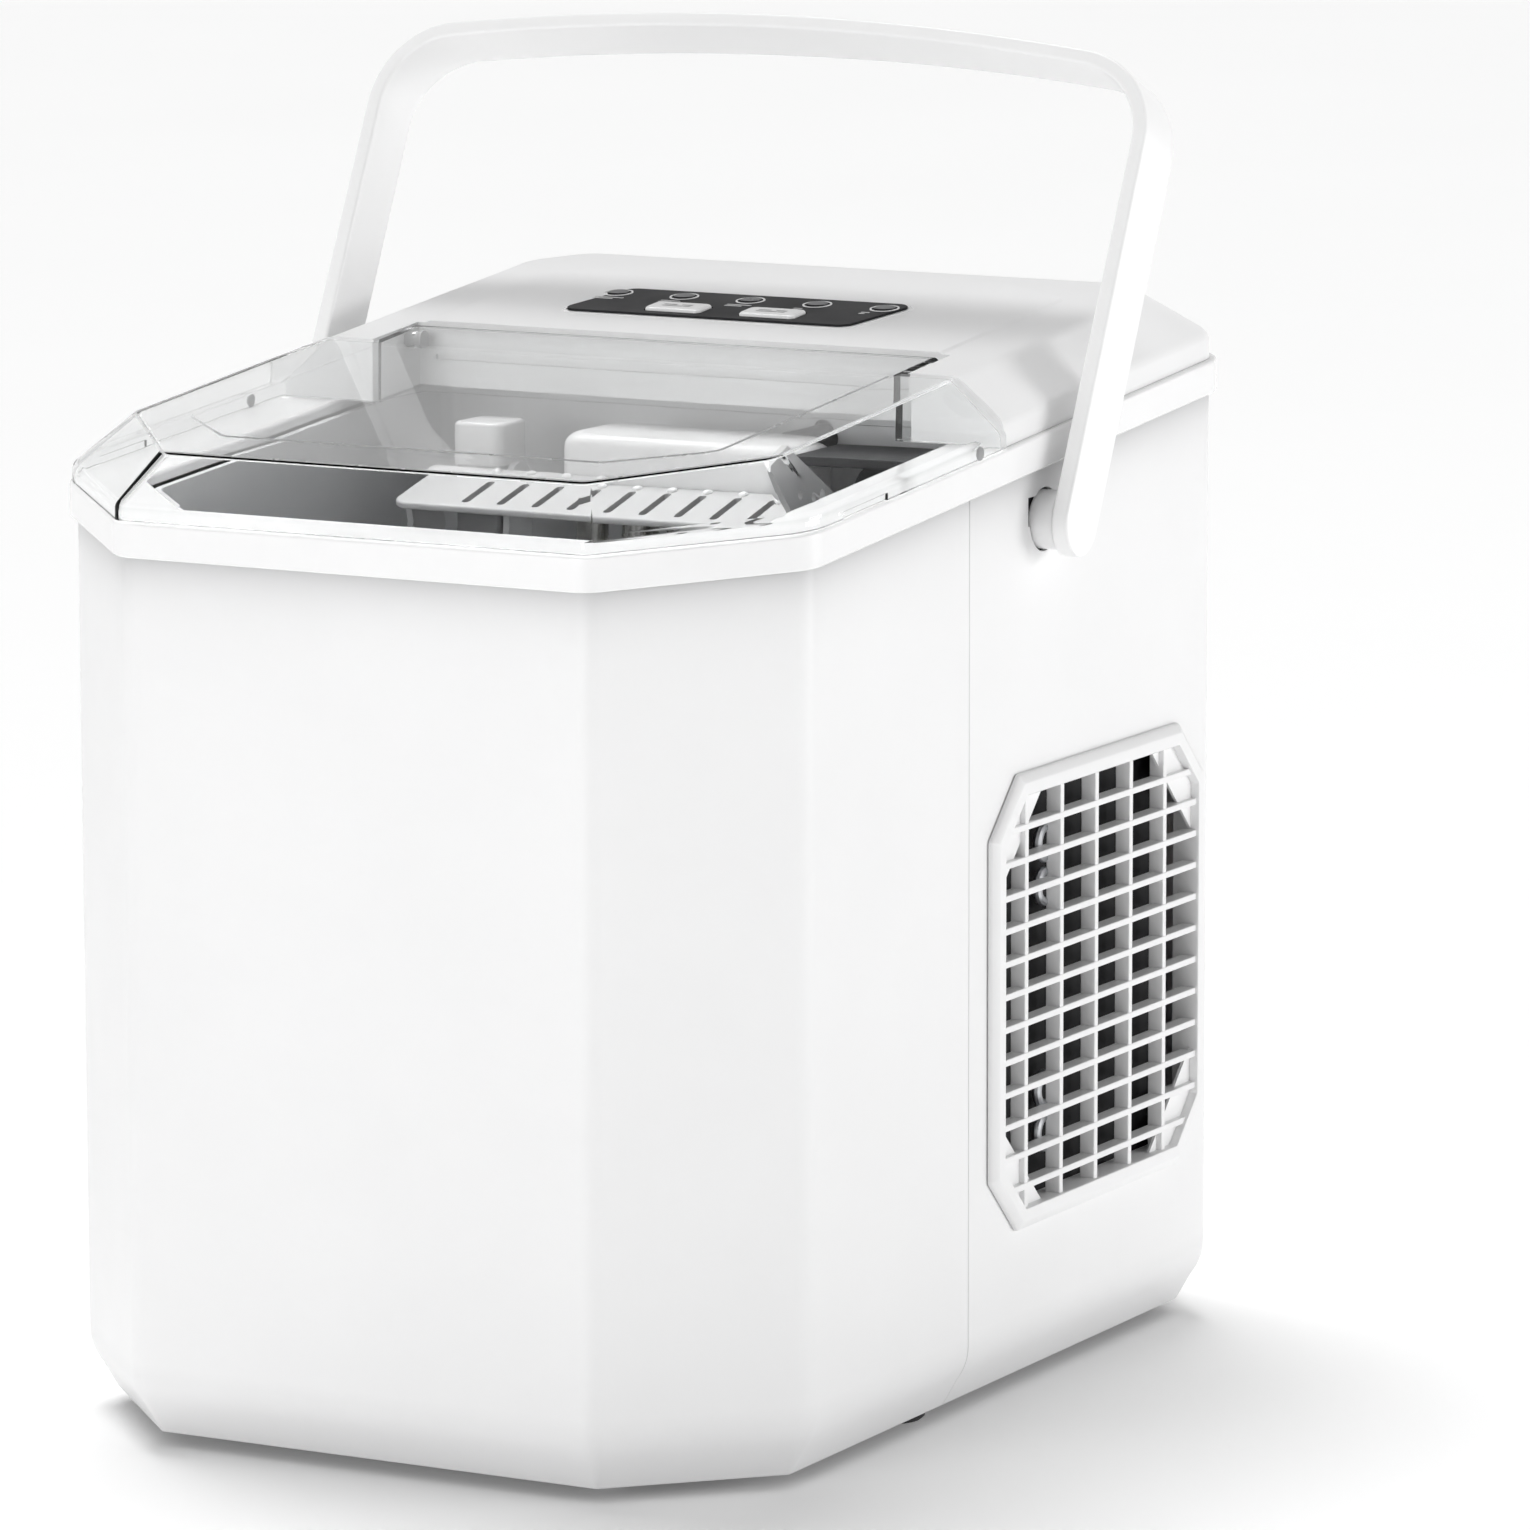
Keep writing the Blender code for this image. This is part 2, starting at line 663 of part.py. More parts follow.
def handle_path():
    """Half of the centre line in the handle's own plane, from a leg's end to the middle.

    Each step holds x, the distance s up from the pivot, the tangent, how full the section's
    depth is at the rounded end, and how far it has changed from leg to bar.
    """
    half = (LEG_IN + LEG_OUT) / 2
    path = []
    reach = LEG_DEPTH / 2
    for k in range(7):
        angle = math.radians(90) * k / 6
        path.append((half, -reach * math.cos(angle), 0.0, 1.0, max(math.sin(angle), 0.12), 0.0))
    path.append((half, LEG_STRAIGHT * 0.4, 0.0, 1.0, 1.0, 0.15))
    turn = math.radians(90) - BAR_SLOPE
    for k in range(8):
        angle = turn * k / 7
        path.append((BEND_X + BEND_R * math.cos(angle), LEG_STRAIGHT + BEND_R * math.sin(angle),
                     -math.sin(angle), math.cos(angle), 1.0, 0.6 + 0.2 * k / 7))
    end_x = path[-1][0]
    end_s = path[-1][1]
    rise = math.tan(BAR_SLOPE) * end_x / 2
    for k in range(1, 7):
        t = k / 6
        path.append((end_x * (1 - t), end_s + rise * (1 - (1 - t) ** 2),
                     -end_x, 2 * rise * (1 - t), 1.0, 0.8 + 0.2 * t))
    return path


def handle_section(x, s, tx, ts, fullness, change):
    """Eight-sided section square to the path, turned back by the handle's lean."""
    widening = max(0.0, change - 0.6) / 0.4
    depth = (LEG_DEPTH + (GRIP_DEPTH - LEG_DEPTH) * widening) * fullness / 2
    thick = ((LEG_OUT - LEG_IN) * (1 - change) + BAR_T * change) / 2
    ease = min(1.4, depth * 0.5)
    size = math.hypot(tx, ts)
    nx, ns = ts / size, -tx / size
    section = []
    for across, deep in ((thick, depth - ease), (thick - ease, depth), (ease - thick, depth),
                         (-thick, depth - ease), (-thick, ease - depth), (ease - thick, -depth),
                         (thick - ease, -depth), (thick, ease - depth)):
        along = s + ns * across
        y = PIVOT[0] + along * math.sin(LEAN) + deep * math.cos(LEAN)
        z = PIVOT[1] + along * math.cos(LEAN) - deep * math.sin(LEAN)
        section.append((x + nx * across, y, z))
    return section


def make_handle():
    right = handle_path()
    left = [(-x, s, tx, -ts, full, change) for x, s, tx, ts, full, change in right[-2::-1]]
    handle = add("handle", loft([handle_section(*step) for step in right + left]))
    origin_at(smooth(handle, 40), 0, *PIVOT)
    for side, name in ((-1, "handle_hub_left"), (1, "handle_hub_right")):
        hub = add(name, rod((side * (HALF_W + GAP), *PIVOT), (side * (LEG_IN - GAP), *PIVOT),
                            HUB_R, 28))
        join(hub, rod((side * (HALF_W + 1), *PIVOT), (side * (HALF_W - 6), *PIVOT), SHAFT_R, 20))
        tab = block(sorted((side * (HALF_W - 6.5), side * (HALF_W - WALL - GAP))),
                    (PIVOT[0] - 2, PIVOT[0] + 9), (PIVOT[1] - 2.5, PIVOT[1] + 2.5))
        join(hub, tab)
        origin_at(smooth(hub), 0, *PIVOT)


# Grilles

def grille_outline(offset):
    y0, y1 = GRILLE_Y
    z0, z1 = GRILLE_Z
    c = GRILLE_CUT
    corners = [(y0 + c, z0), (y1 - c, z0), (y1, z0 + c), (y1, z1 - c),
               (y1 - c, z1), (y0 + c, z1), (y0, z1 - c), (y0, z0 + c)]
    return grow(corners, offset)


def make_grille(side, name):
    back = HALF_W + GAP
    front = HALF_W + GRILLE_PROUD
    def at(outline, x):
        return [(side * x, y, z) for y, z in outline]
    grille = add(name, loft([at(grille_outline(0.0), back), at(grille_outline(0.0), back + 1.0),
                             at(grille_outline(-2.0), front)]))
    collar = loft([at(grille_outline(-GRILLE_FRAME * 0.5 - GAP - 0.1), HALF_W - 5.0),
                   at(grille_outline(-GRILLE_FRAME * 0.5 - GAP - 0.1), back + 0.5)])
    join(grille, collar)
    hole = loft([at(grille_outline(-GRILLE_FRAME), HALF_W - 8.0),
                 at(grille_outline(-GRILLE_FRAME), HALF_W + 6.0)])
    cut(grille, hole)
    y_range = (GRILLE_Y[0] + 1, GRILLE_Y[1] - 1)
    z_range = (GRILLE_Z[0] + 1, GRILLE_Z[1] - 1)
    face = HALF_W + GRILLE_PROUD - 0.9
    keep = add("keep", loft([at(grille_outline(-GRILLE_FRAME + 1.2), HALF_W - 8.0),
                             at(grille_outline(-GRILLE_FRAME + 1.2), HALF_W + 6.0)]))
    fins = add("fins", block(sorted((side * (face - FIN_DEPTH), side * face)),
                             (FIN_Y[0] - 0.9, FIN_Y[0] + 0.9), z_range))
    for y in FIN_Y[1:]:
        join(fins, block(sorted((side * (face - FIN_DEPTH), side * face)),
                         (y - 0.9, y + 0.9), z_range))
    for z in FIN_Z:
        join(fins, block(sorted((side * (face - FIN_DEPTH), side * (face + 0.15))),
                         y_range, (z - 0.6, z + 0.6)))
    combine(fins, keep, "INTERSECT")
    join(grille, fins)
    smooth(grille)


# Tub, basket and ice mechanism

def make_tub():
    def plate_under(y):
        return rim_height(y) - RIM_PLATE - GAP
    def tub_solid(inset, floor_lift, roof):
        deep = fillet(grow(tub_corners(TUB_SPLIT_Y), -inset), 8.0 - inset)
        solid = add("tub", prism(deep, TUB_LEDGE + floor_lift, roof))
        low = fillet(grow(tub_corners(TUB_SPLIT_Y - 8, TUB_X - 9, TUB_FRONT_Y + 9), -inset), 6.0)
        join(solid, prism(low, TUB_FLOOR + floor_lift, TUB_LEDGE + floor_lift + 1.0))
        back = grow(rectangle((-TUB_X, TUB_X), (TUB_SPLIT_Y - 25, TUB_REAR_Y)), -inset)
        join(solid, prism(fillet(back, 7.0 - inset), TUB_SHELF + floor_lift, roof))
        return solid
    tub = tub_solid(0.0, 0.0, plate_under)
    tub.name = "tub_liner"
    cut(tub, tub_solid(TUB_WALL, TUB_WALL, 320.0))
    cut(tub, rod((30, TUB_REAR_Y - 6, 250), (30, TUB_REAR_Y + 4, 250), 3.4, 16))
    cut(tub, rod((*DRAIN, 30), (*DRAIN, 50), 6.0, 20))
    tub.data.materials.clear()
    tub.data.materials.append(material("pale_grey"))
    smooth(tub)


def make_basket():
    def wall(inset, low, high):
        front, rear = BASKET_Y
        corners = tub_corners(rear, BASKET_X, front)
        return prism(fillet(grow(corners, -inset), 8.0 - inset), low, high)
    low, high = BASKET_Z
    basket = add("ice_basket", wall(0.0, low + TUB_WALL + GAP, high), "grey_plastic")
    cut(basket, wall(BASKET_WALL, low + TUB_WALL + GAP + BASKET_WALL, high + 10))
    for k in range(7):
        x = (k - 3) * 18.0
        cut(basket, block((x - 2.5, x + 2.5), (-112, -68), (low - 5, low + 10)))
    grip = fillet(rectangle((-24, 24), (high - 12, high + 20)), 5.0, 3)
    grip_cut = loft([[(x, y, z) for x, z in grip] for y in (BASKET_Y[0] - 3, BASKET_Y[0] + 5)])
    cut(basket, grip_cut)
    smooth(basket)


def shovel_point(x, forward, lift):
    """A point on the shovel: forward is measured up its slope from the front edge."""
    y = SHOVEL_FRONT[0] + forward * math.cos(SHOVEL_PITCH) - lift * math.sin(SHOVEL_PITCH)
    z = SHOVEL_FRONT[1] + forward * math.sin(SHOVEL_PITCH) + lift * math.cos(SHOVEL_PITCH)
    return (x, y, z)


def tilted_prism(outline, low, high):
    """Extrudes an outline given in x and slope distance square to the shovel's slope."""
    return loft([[shovel_point(x, f, lift) for x, f in outline] for lift in (low, high)])


def make_shovel():
    plate = fillet(rectangle((-SHOVEL_X, SHOVEL_X), (0, SHOVEL_DEPTH)), [5, 5, 2, 2], 3)
    shovel = add("ice_shovel", tilted_prism(plate, 0.0, 2.0))
    for k in range(SHOVEL_SLOTS):
        x = SLOT_MIDDLE + (k - (SHOVEL_SLOTS - 1) / 2) * SLOT_PITCH
        slot = fillet(rectangle((x - 1.1, x + 1.1), (3.0, SHOVEL_DEPTH - 3.0)), 1.0, 1)
        cut(shovel, tilted_prism(slot, -4.0, 6.0))
    for side in (-1, 1):
        flange = rectangle(sorted((side * (SHOVEL_X - 1.8), side * SHOVEL_X)), (8, SHOVEL_DEPTH))
        join(shovel, tilted_prism(flange, -SHOVEL_FLANGE, 0.5))
    join(shovel, side_prism(DRIVE_ARM, (SHOVEL_X - 1.8, SHOVEL_X)))
    for y, z in DRIVE_HOLES:
        cut(shovel, rod((SHOVEL_X - 4, y, z), (SHOVEL_X + 2, y, z), 1.5, 10))
    smooth(shovel)
    for side, name in ((-1, "shovel_rail_left"), (1, "shovel_rail_right")):
        rail = rectangle(sorted((side * (SHOVEL_X + 0.5), side * (TUB_X - TUB_WALL - GAP))),
                         (-20, 16))
        add(name, tilted_prism(rail, 1 - SHOVEL_FLANGE, 5 - SHOVEL_FLANGE), "grey_plastic")


def make_tray():
    inner = arc(TRAY_AXIS, TRAY_R, TRAY_HALF_ARC, -TRAY_HALF_ARC, 12)
    outer = arc(TRAY_AXIS, TRAY_R + TRAY_WALL, -TRAY_HALF_ARC, TRAY_HALF_ARC, 12)
    tray = add("water_tray", side_prism(outer + inner, (TRAY_X[0] - 1, TRAY_X[1] + 1)),
               "pale_grey")
    hub = arc(TRAY_AXIS, 6.0, math.radians(100), math.radians(260), 6)
    y, z = TRAY_AXIS
    cheek = outer + [(y + 6.5, z - 14)] + hub + [(y - 6.5, z - 14)]
    for x_range in ((TRAY_X[0] - 2, TRAY_X[0]), (TRAY_X[1], TRAY_X[1] + 2)):
        join(tray, side_prism(cheek, x_range))
    join(tray, rod((TRAY_X[0] - 1, *TRAY_AXIS), (TRAY_X[0] - 13, *TRAY_AXIS), 3.0, 14))
    join(tray, rod((TRAY_X[1] + 1, *TRAY_AXIS), (TRAY_X[1] + 9, *TRAY_AXIS), 3.0, 14))
    origin_at(smooth(tray), 0, *TRAY_AXIS)
    motor_x = TRAY_X[1] + 6
    motor = add("tray_motor", rod((motor_x, *TRAY_AXIS), (motor_x + 18, *TRAY_AXIS), 13, 24),
                "black_plastic")
    join(motor, block((motor_x + 10, TUB_X - TUB_WALL - GAP), (0, 20), (228, 244)))
    cut(motor, rod((motor_x - 2, *TRAY_AXIS), (motor_x + 5, *TRAY_AXIS), 3.0 + GAP, 14))
    smooth(motor)
    post = fillet(rectangle((TRAY_X[0] - 17, TRAY_X[0] - 2.6), (2, 18)), 3.0, 2)
    bearing = add("tray_bearing", prism(post, TUB_SHELF + TUB_WALL + GAP, 252.0))
    cut(bearing, rod((TRAY_X[0] + 2, *TRAY_AXIS), (TRAY_X[0] - 14, *TRAY_AXIS), 3.0 + GAP, 14))
    smooth(bearing)


def make_evaporator():
    y = TRAY_AXIS[0]
    left, right = EVAPORATOR_X
    core = fillet(rectangle(EVAPORATOR_X, (y - 14, y + 14)), 5.0, 3)
    evaporator = add("evaporator", prism(core, 231.0, 238.5), "nickel")
    for row, count in ((-8.0, 5), (8.0, 4)):
        for k in range(count):
            x = (left + right) / 2 + (k - (count - 1) / 2) * 14.0
            join(evaporator, rod((x, y + row, 233), (x, y + row, FINGER_TIP), FINGER_R, 12,
                                 FINGER_R * 0.75))
    smooth(evaporator)
    outline = fillet(rectangle((left - 2, right + 2), (y - 16, y + 16)), 7.0, 4)
    shrunk = fillet(rectangle(EVAPORATOR_X, (y - 14, y + 14)), 6.0, 4)
    cover = loft([raise_to(outline, 238.8), raise_to(outline, COVER_TOP - 2.5),
                  raise_to(shrunk, COVER_TOP)])
    smooth(add("evaporator_cover", cover))
    bracket_x = (right + 2 + GAP, TUB_X - TUB_WALL - GAP)
    add("evaporator_bracket", block(bracket_x, (-4, 24), (249.4, 252.0)), "black_plastic")


# Water system

def make_water_system():
    pump = add("water_pump", turned(((15, 42.4), (16, 44), (16, 66), (13, 70), (5, 70.5), (5, 78)),
                                    PUMP, 24), "black_plastic")
    smooth(pump)
    tube("water_hose", [(*PUMP, 78.3), (*PUMP, 88), (76, -44, 96), (82, -30, 130),
                        (82, -30, 200), (88.9, -30, 200.5)], 3.0, "silicone")
    cap = add("drain_cap", turned(((8.5, -2.6), (9.0, -1.8), (9.0, 6), (5.7, 8), (5.7, 41.5)),
                                  DRAIN, 24), "black_plastic")
    cut(cap, block((DRAIN[0] - 2, DRAIN[0] + 2), (DRAIN[1] - 15, DRAIN[1] + 15), (-8, -1.2)))
    origin_at(smooth(cap), *DRAIN, 0)


# Refrigeration

def make_refrigeration():
    r = COMPRESSOR_R
    profile = ((r * 0.6, 12), (r * 0.88, 16), (r, 26), (r, 62), (r * 1.03, 62.5), (r * 1.03, 66),
               (r, 66.5), (r * 0.97, 96), (r * 0.8, 110), (r * 0.35, 117))
    compressor = add("compressor", turned(profile, COMPRESSOR, 32), "black_steel")
    feet = fillet(grow([mount_place(k) for k in range(3)], 12.0), 9.0, 3)
    join(compressor, prism(feet, 13.5, 16.5))
    smooth(compressor)
    for k in range(3):
        name = f"compressor_mount_{k + 1}"
        smooth(add(name, turned(((8, 3.3), (6.5, 8), (8, 13.2)), mount_place(k), 18), "rubber"))
    smooth(add("condenser", block(CONDENSER_X, CONDENSER_Y, CONDENSER_Z), "black_steel"))
    tube("discharge_tube", [(COMPRESSOR[0] + 20, COMPRESSOR[1], 118), (COMPRESSOR[0] + 20, 94, 150),
                            (60, 112, 150), (98, 112, 150), (98, 102.4, 150)], 3.0, "copper")
    tube("suction_tube", [(30, 26.4, 250), (30, 58, 250), (30, 70, 200), (-70, 94, 160),
                          (-64, 94, 115)], 2.5, "rubber")
    smooth(add("filter_drier", rod((40, 138, 70), (40, 138, 130), 8.0, 20), "copper"))
    y, z = FAN_CENTRE
    shroud = add("fan_shroud", block((82, 86), (-6, 106), (48, 160)), "black_plastic")
    cut(shroud, rod((70, y, z), (95, y, z), FAN_R + 4, 40))
    ring = add("ring", rod((62, y, z), (83, y, z), FAN_R + 6, 40))
    cut(ring, rod((50, y, z), (95, y, z), FAN_R + 4, 40))
    join(shroud, ring)
    smooth(shroud)
    rotor = add("fan_rotor", rod((64, y, z), (78, y, z), 13, 24), "black_plastic")
    for k in range(FAN_BLADES):
        join(rotor, fan_blade(2 * math.pi * k / FAN_BLADES))
    origin_at(smooth(rotor), 70, y, z)
    motor = add("fan_motor", rod((38, y, z), (63.4, y, z), 18, 24), "steel")
    for turn in (0, 120, 240):
        angle = math.radians(turn)
        reach = FAN_R + 3
        tip = (60, y + reach * math.cos(angle), z + reach * math.sin(angle))
        join(motor, rod((60, y, z), tip, 2.2, 8))
    smooth(motor)
    add("bulkhead", block((-102, 102), (-12.5, -11.0), (3.3, 186.0)), "steel")


def mount_place(index):
    angle = 2 * math.pi * (index + 0.25) / 3
    reach = COMPRESSOR_R + 4
    return (COMPRESSOR[0] + reach * math.cos(angle), COMPRESSOR[1] + reach * math.sin(angle))


def fan_blade(turn):
    """Pitched, slightly swept blade running out from the fan's hub."""
    loops = []
    for reach, chord, pitch, sweep in ((10, 12, 50, 0), (22, 17, 42, 0.1), (32, 21, 35, 0.2),
                                       (FAN_R, 22, 30, 0.32)):
        tilt = math.radians(pitch)
        loop = []
        for along, thick in ((-0.5, -0.8), (0.5, -0.8), (0.5, 0.8), (-0.5, 0.8)):
            x = 71 + chord * along * math.sin(tilt) * 0.75 + thick * math.cos(tilt)
            across = chord * along * math.cos(tilt) - thick * math.sin(tilt)
            angle = turn + sweep
            y = FAN_CENTRE[0] + reach * math.cos(angle) - across * math.sin(angle)
            z = FAN_CENTRE[1] + reach * math.sin(angle) + across * math.cos(angle)
            loop.append((x, y, z))
        loops.append(loop)
    return loft(loops)


def inlet_body(clearance):
    """Ranges in x and z of the part of the inlet that passes through the wall."""
    inset = INLET_FLANGE - clearance
    return ((INLET_X[0] + inset, INLET_X[1] - inset), (INLET_Z[0] + inset, INLET_Z[1] - inset))


def make_power_inlet():
    plate = fillet(rectangle(INLET_X, INLET_Z), 3.0, 3)
    flange = loft([[(x, y, z) for x, z in plate] for y in (HALF_D + GAP, HALF_D + 1.9)])
    inlet = add("power_inlet", flange, "black_plastic")
    across, up = inlet_body(0.0)
    join(inlet, block(across, (HALF_D - 16, HALF_D + 1), up))
    well = fillet(grow(rectangle(across, up), -2.2), 2.0, 2)
    cut(inlet, loft([[(x, y, z) for x, z in well] for y in (HALF_D - 12, HALF_D + 5)]))
    middle = (INLET_Z[0] + INLET_Z[1]) / 2
    for x in INLET_PINS:
        join(inlet, block((x - 0.8, x + 0.8), (HALF_D - 13, HALF_D - 3), (middle - 2, middle + 2)))
    smooth(inlet)


clear_scene()
make_casing()
make_base()
make_rim()
make_lid()
make_housing()
make_controls()
make_handle()
make_grille(-1, "grille_left")
make_grille(1, "grille_right")
make_tub()
make_basket()
make_shovel()
make_tray()
make_evaporator()
make_water_system()
make_refrigeration()
make_power_inlet()
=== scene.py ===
"""Looks of the countertop ice maker: refined pieces, materials, light and camera.

Lengths are in millimetres above the casing's bottom edge until a piece is made; pieces are in
metres in the frame's own coordinates, +Z up and -Y the front.
"""

import json
import math

import bmesh
import bpy
from mathutils import Matrix, Vector


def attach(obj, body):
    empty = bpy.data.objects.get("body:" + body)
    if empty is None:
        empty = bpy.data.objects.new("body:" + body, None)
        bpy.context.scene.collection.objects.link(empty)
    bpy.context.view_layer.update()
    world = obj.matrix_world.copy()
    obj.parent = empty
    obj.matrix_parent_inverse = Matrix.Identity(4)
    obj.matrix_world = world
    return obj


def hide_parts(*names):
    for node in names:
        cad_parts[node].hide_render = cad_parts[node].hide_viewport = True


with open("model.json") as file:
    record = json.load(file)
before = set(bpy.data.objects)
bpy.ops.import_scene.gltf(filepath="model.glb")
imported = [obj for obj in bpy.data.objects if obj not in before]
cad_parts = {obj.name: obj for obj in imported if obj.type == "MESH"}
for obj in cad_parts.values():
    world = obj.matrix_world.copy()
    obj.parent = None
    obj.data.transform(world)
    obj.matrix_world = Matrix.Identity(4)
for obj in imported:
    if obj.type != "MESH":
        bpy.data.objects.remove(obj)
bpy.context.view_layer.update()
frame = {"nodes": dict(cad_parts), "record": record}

MM = 0.001
FOOT_H = 4.0
GAP = 0.3

# Casing
HALF_W = 111.0
HALF_D = 153.0
FRONT_CUT = 41.5
REAR_CUT = 28.0
CORNER_R = 9.0
WALL = 2.5
SEAM_Y = -22.0
CHAMFER_H = 14.0
CHAMFER_IN = 7.5
INLET_X = (-80.8, -57.2)       # opening for the power inlet in the rear wall
INLET_Z = (25.2, 44.8)

# Rim and the two sloping planes
RIM_TOP = 245.0
RIM_SLOPE = 0.083
RIM_H = 9.4
RIM_OVERHANG = 2.15
RIM_PLATE = 3.0
LEDGE_W = 19.5
TUB_REAR_Y = 50.0
TOP_AT_SPLIT = 275.9
TOP_SLOPE = 0.096
SPLIT_Y = -3.0
PANEL_RISE = 0.6
RIDGE_X = 97.7
RIDGE_FRONT = (63.5, -143.6)
RIDGE_SIDE_Y = -103.0
RIDGE_REAR_Y = 108.0
RIDGE_BACK = (86.0, 122.0)
CREASE_X = 80.0
CREASE_REAR_Y = 96.0
CREASE_BACK = (48.0, 114.0)

# Lid
LID_WALL = 1.5
LID_LIP = 4.5
LID_REAR_GAP = 0.6
TONGUE_X = 81.0
HINGE = (15.0, 273.0)
HINGE_R = 5.0
TONGUE_DROP = 15.0

# Housing and controls
HOUSING_X = 111.4
HOUSING_WALL_H = 7.0
BAY_X = 83.3
BAY_Y = 21.0
PANEL_Y = (42.0, 72.0)
PANEL_X = (-50.0, 46.0)
PANEL_SKEW = 6.0
BUTTON_X = (-16.6, 13.0)
BUTTON_Y = 50.0
BUTTON_SIZE = (17.5, 9.0)
LIGHT_X = (-44.0, -23.0, -2.0, 19.0, 40.0)
LIGHT_Y = 65.0
LIGHT_R = 3.2
BUTTON_HOLE_FROM = 250         # heights between which the holes are cut
LIGHT_HOLE_FROM = 265
HOUSING_HOLE_TO = 300
FILM_HOLE_TO = 310
BUTTON_ROUND = 1.8
FILM_ROUND = 4.0
CAPTION_WIDTHS = (9.0, 6.0, 7.5, 2.5, 2.5)
BUTTON_BARS = ((-2.6, 2.0, 0.7), (2.6, 1.6, 0.7),     # x, half length and y from the middle
               (-1.4, 3.2, -0.9), (3.2, 1.0, -0.9))

# Handle
PIVOT = (22.2, 235.4)
LEAN = math.radians(25.6)
LEG_IN = 117.6
LEG_OUT = 122.5
LEG_DEPTH = 19.0
LEG_STRAIGHT = 105.2
GRIP_DEPTH = 23.0
BAR_T = 4.1
BEND_R = 23.15
BEND_X = 96.9
BAR_SLOPE = math.radians(7.0)
HUB_R = 8.0
NOTCH_Y = (PIVOT[0] - 9.8, PIVOT[0])
NOTCH_Z = (PIVOT[1] - 1.0, PIVOT[1] + 6.8)

# Grilles
GRILLE_Y = (-11.2, 118.8)
GRILLE_Z = (43.5, 168.5)
GRILLE_CUT = 16.0
GRILLE_FRAME = 6.0
GRILLE_PROUD = 2.8
FIN_Y = [8.6 + 21.15 * k for k in range(5)]
FIN_Z = [55.4 + 8.95 * k for k in range(12)]
FIN_DEPTH = 4.4
FIN_HALF = (1.05, 0.9)         # half thickness of the upright and the level fins
FIN_SPAN_Y = (-20, 125)        # fins reach past the frame and are trimmed to it
FIN_SPAN_Z = (40, 175)
BACKING_REACH = 37.5

# Finger recess in the lid's lip, and the small stop beside its hinge
RECESS_Y = (-96.0, -72.0)
STOP_PLACE = (-20.0, 2.0)      # along the lid, and above the rim

# Ice mechanism
TRAY_AXIS = (10.0, 236.0)
SHOVEL_FRONT = (-30.0, 234.0)
SHOVEL_DEPTH = 24.0
SHOVEL_X = 62.0
SHOVEL_PITCH = math.radians(15.0)
SHOVEL_FLANGE = 20.0
SHOVEL_SLOTS = 9
SLOT_PITCH = 10.9
SLOT_MIDDLE = 3.4
DRIVE_ARM = [(-23.5, 235.5), (-8.0, 236.0), (-7.0, 243.0), (-32.0, 257.5), (-40.0, 254.5)]
DRIVE_HOLES = [(-22.5, 245.3), (-14.0, 243.5)]
POST_X = (-61.0, -46.6)
POST_Y = (2.0, 18.0)
EVAPORATOR_X = (-22.0, 44.0)
COVER_TOP = 252.5
HOOD_FOOT = 238.8
CAP_FOOT = 241.0
CAP_SHOULDER = 252.6
BEND_HEIGHTS = (66.0, 78.0, 134.0, 146.0)     # of the condenser's return bends
LEDGE_HEIGHT = 267.5           # groove across the wall under the lid's tongue

# Camera
CAMERA_PLACE = (1.1607, -2.0686, 0.5656)
CAMERA_TURN = math.radians(28.50)
CAMERA_DIP = math.radians(9.54)
CAMERA_ROLL = math.radians(-0.12)
CAMERA_LENS = 207.09
SENSOR = 36.0

# Light
HORIZON_LIGHT = 0.79
ZENITH_LIGHT = 0.15
FLOOR_GLOW = 0.1
KEY_STRENGTH = 2.1
KEY_AIM = (0.3, -0.24, -1.0)
KEY_SPREAD = 34.0              # degrees of sky the overhead light covers
BOX_TARGET = (0, 0, 0.15)
FRONT_BOX = ((-0.4, -2.65, 0.5), (1.6, 0.8), 22.5)    # place and size in metres, watts
RIGHT_BOX = ((2.65, 1.15, 0.5), (1.4, 0.8), 29.5)
LAMP_SHARE = 0.9               # how much light each clear wall lets straight through

# Painted highlight on the lid's ridge and painted shade on the casing
RIDGE_HIGHLIGHT_CLARITY = 0.62            # how clear the lid's ridge strips with their painted highlight stay
PAINTED_SHADE_REACH = 0.0055           # metres over which the painted shade under the rim fades


def rim_height(y):
    return RIM_TOP + RIM_SLOPE * (y + HALF_D)


def top_height(y):
    return TOP_AT_SPLIT + TOP_SLOPE * (y - SPLIT_Y)


# Materials

def shader_of(material):
    return material.node_tree.nodes["Principled BSDF"]


def new_node(material, kind, **settings):
    node = material.node_tree.nodes.new(kind)
    for key, value in settings.items():
        setattr(node, key, value)
    return node


def new_material(name):
    material = bpy.data.materials.new(name)
    material.use_nodes = True
    return material


def dial(node, **values):
    """Sets a node's inputs by name, with an underscore for each space."""
    for name, value in values.items():
        node.inputs[name.replace("_", " ")].default_value = value


def wire(material, source, target):
    material.node_tree.links.new(source, target)


def noise(material, scale, detail=3.0, stretch=(1, 1, 1)):
    """Noise in the piece's own coordinates; scale is in features per metre."""
    place = new_node(material, "ShaderNodeTexCoord")
    mapping = new_node(material, "ShaderNodeMapping")
    dial(mapping, Scale=stretch)
    wire(material, place.outputs["Object"], mapping.inputs["Vector"])
    texture = new_node(material, "ShaderNodeTexNoise")
    dial(texture, Scale=scale, Detail=detail)
    wire(material, mapping.outputs["Vector"], texture.inputs["Vector"])
    return texture.outputs["Fac"]


def spread(material, source, low, high):
    """Maps the middle of a noise onto low to high."""
    ranged = new_node(material, "ShaderNodeMapRange")
    dial(ranged, From_Min=0.3, From_Max=0.7, To_Min=low, To_Max=high)
    wire(material, source, ranged.inputs["Value"])
    return ranged.outputs["Result"]


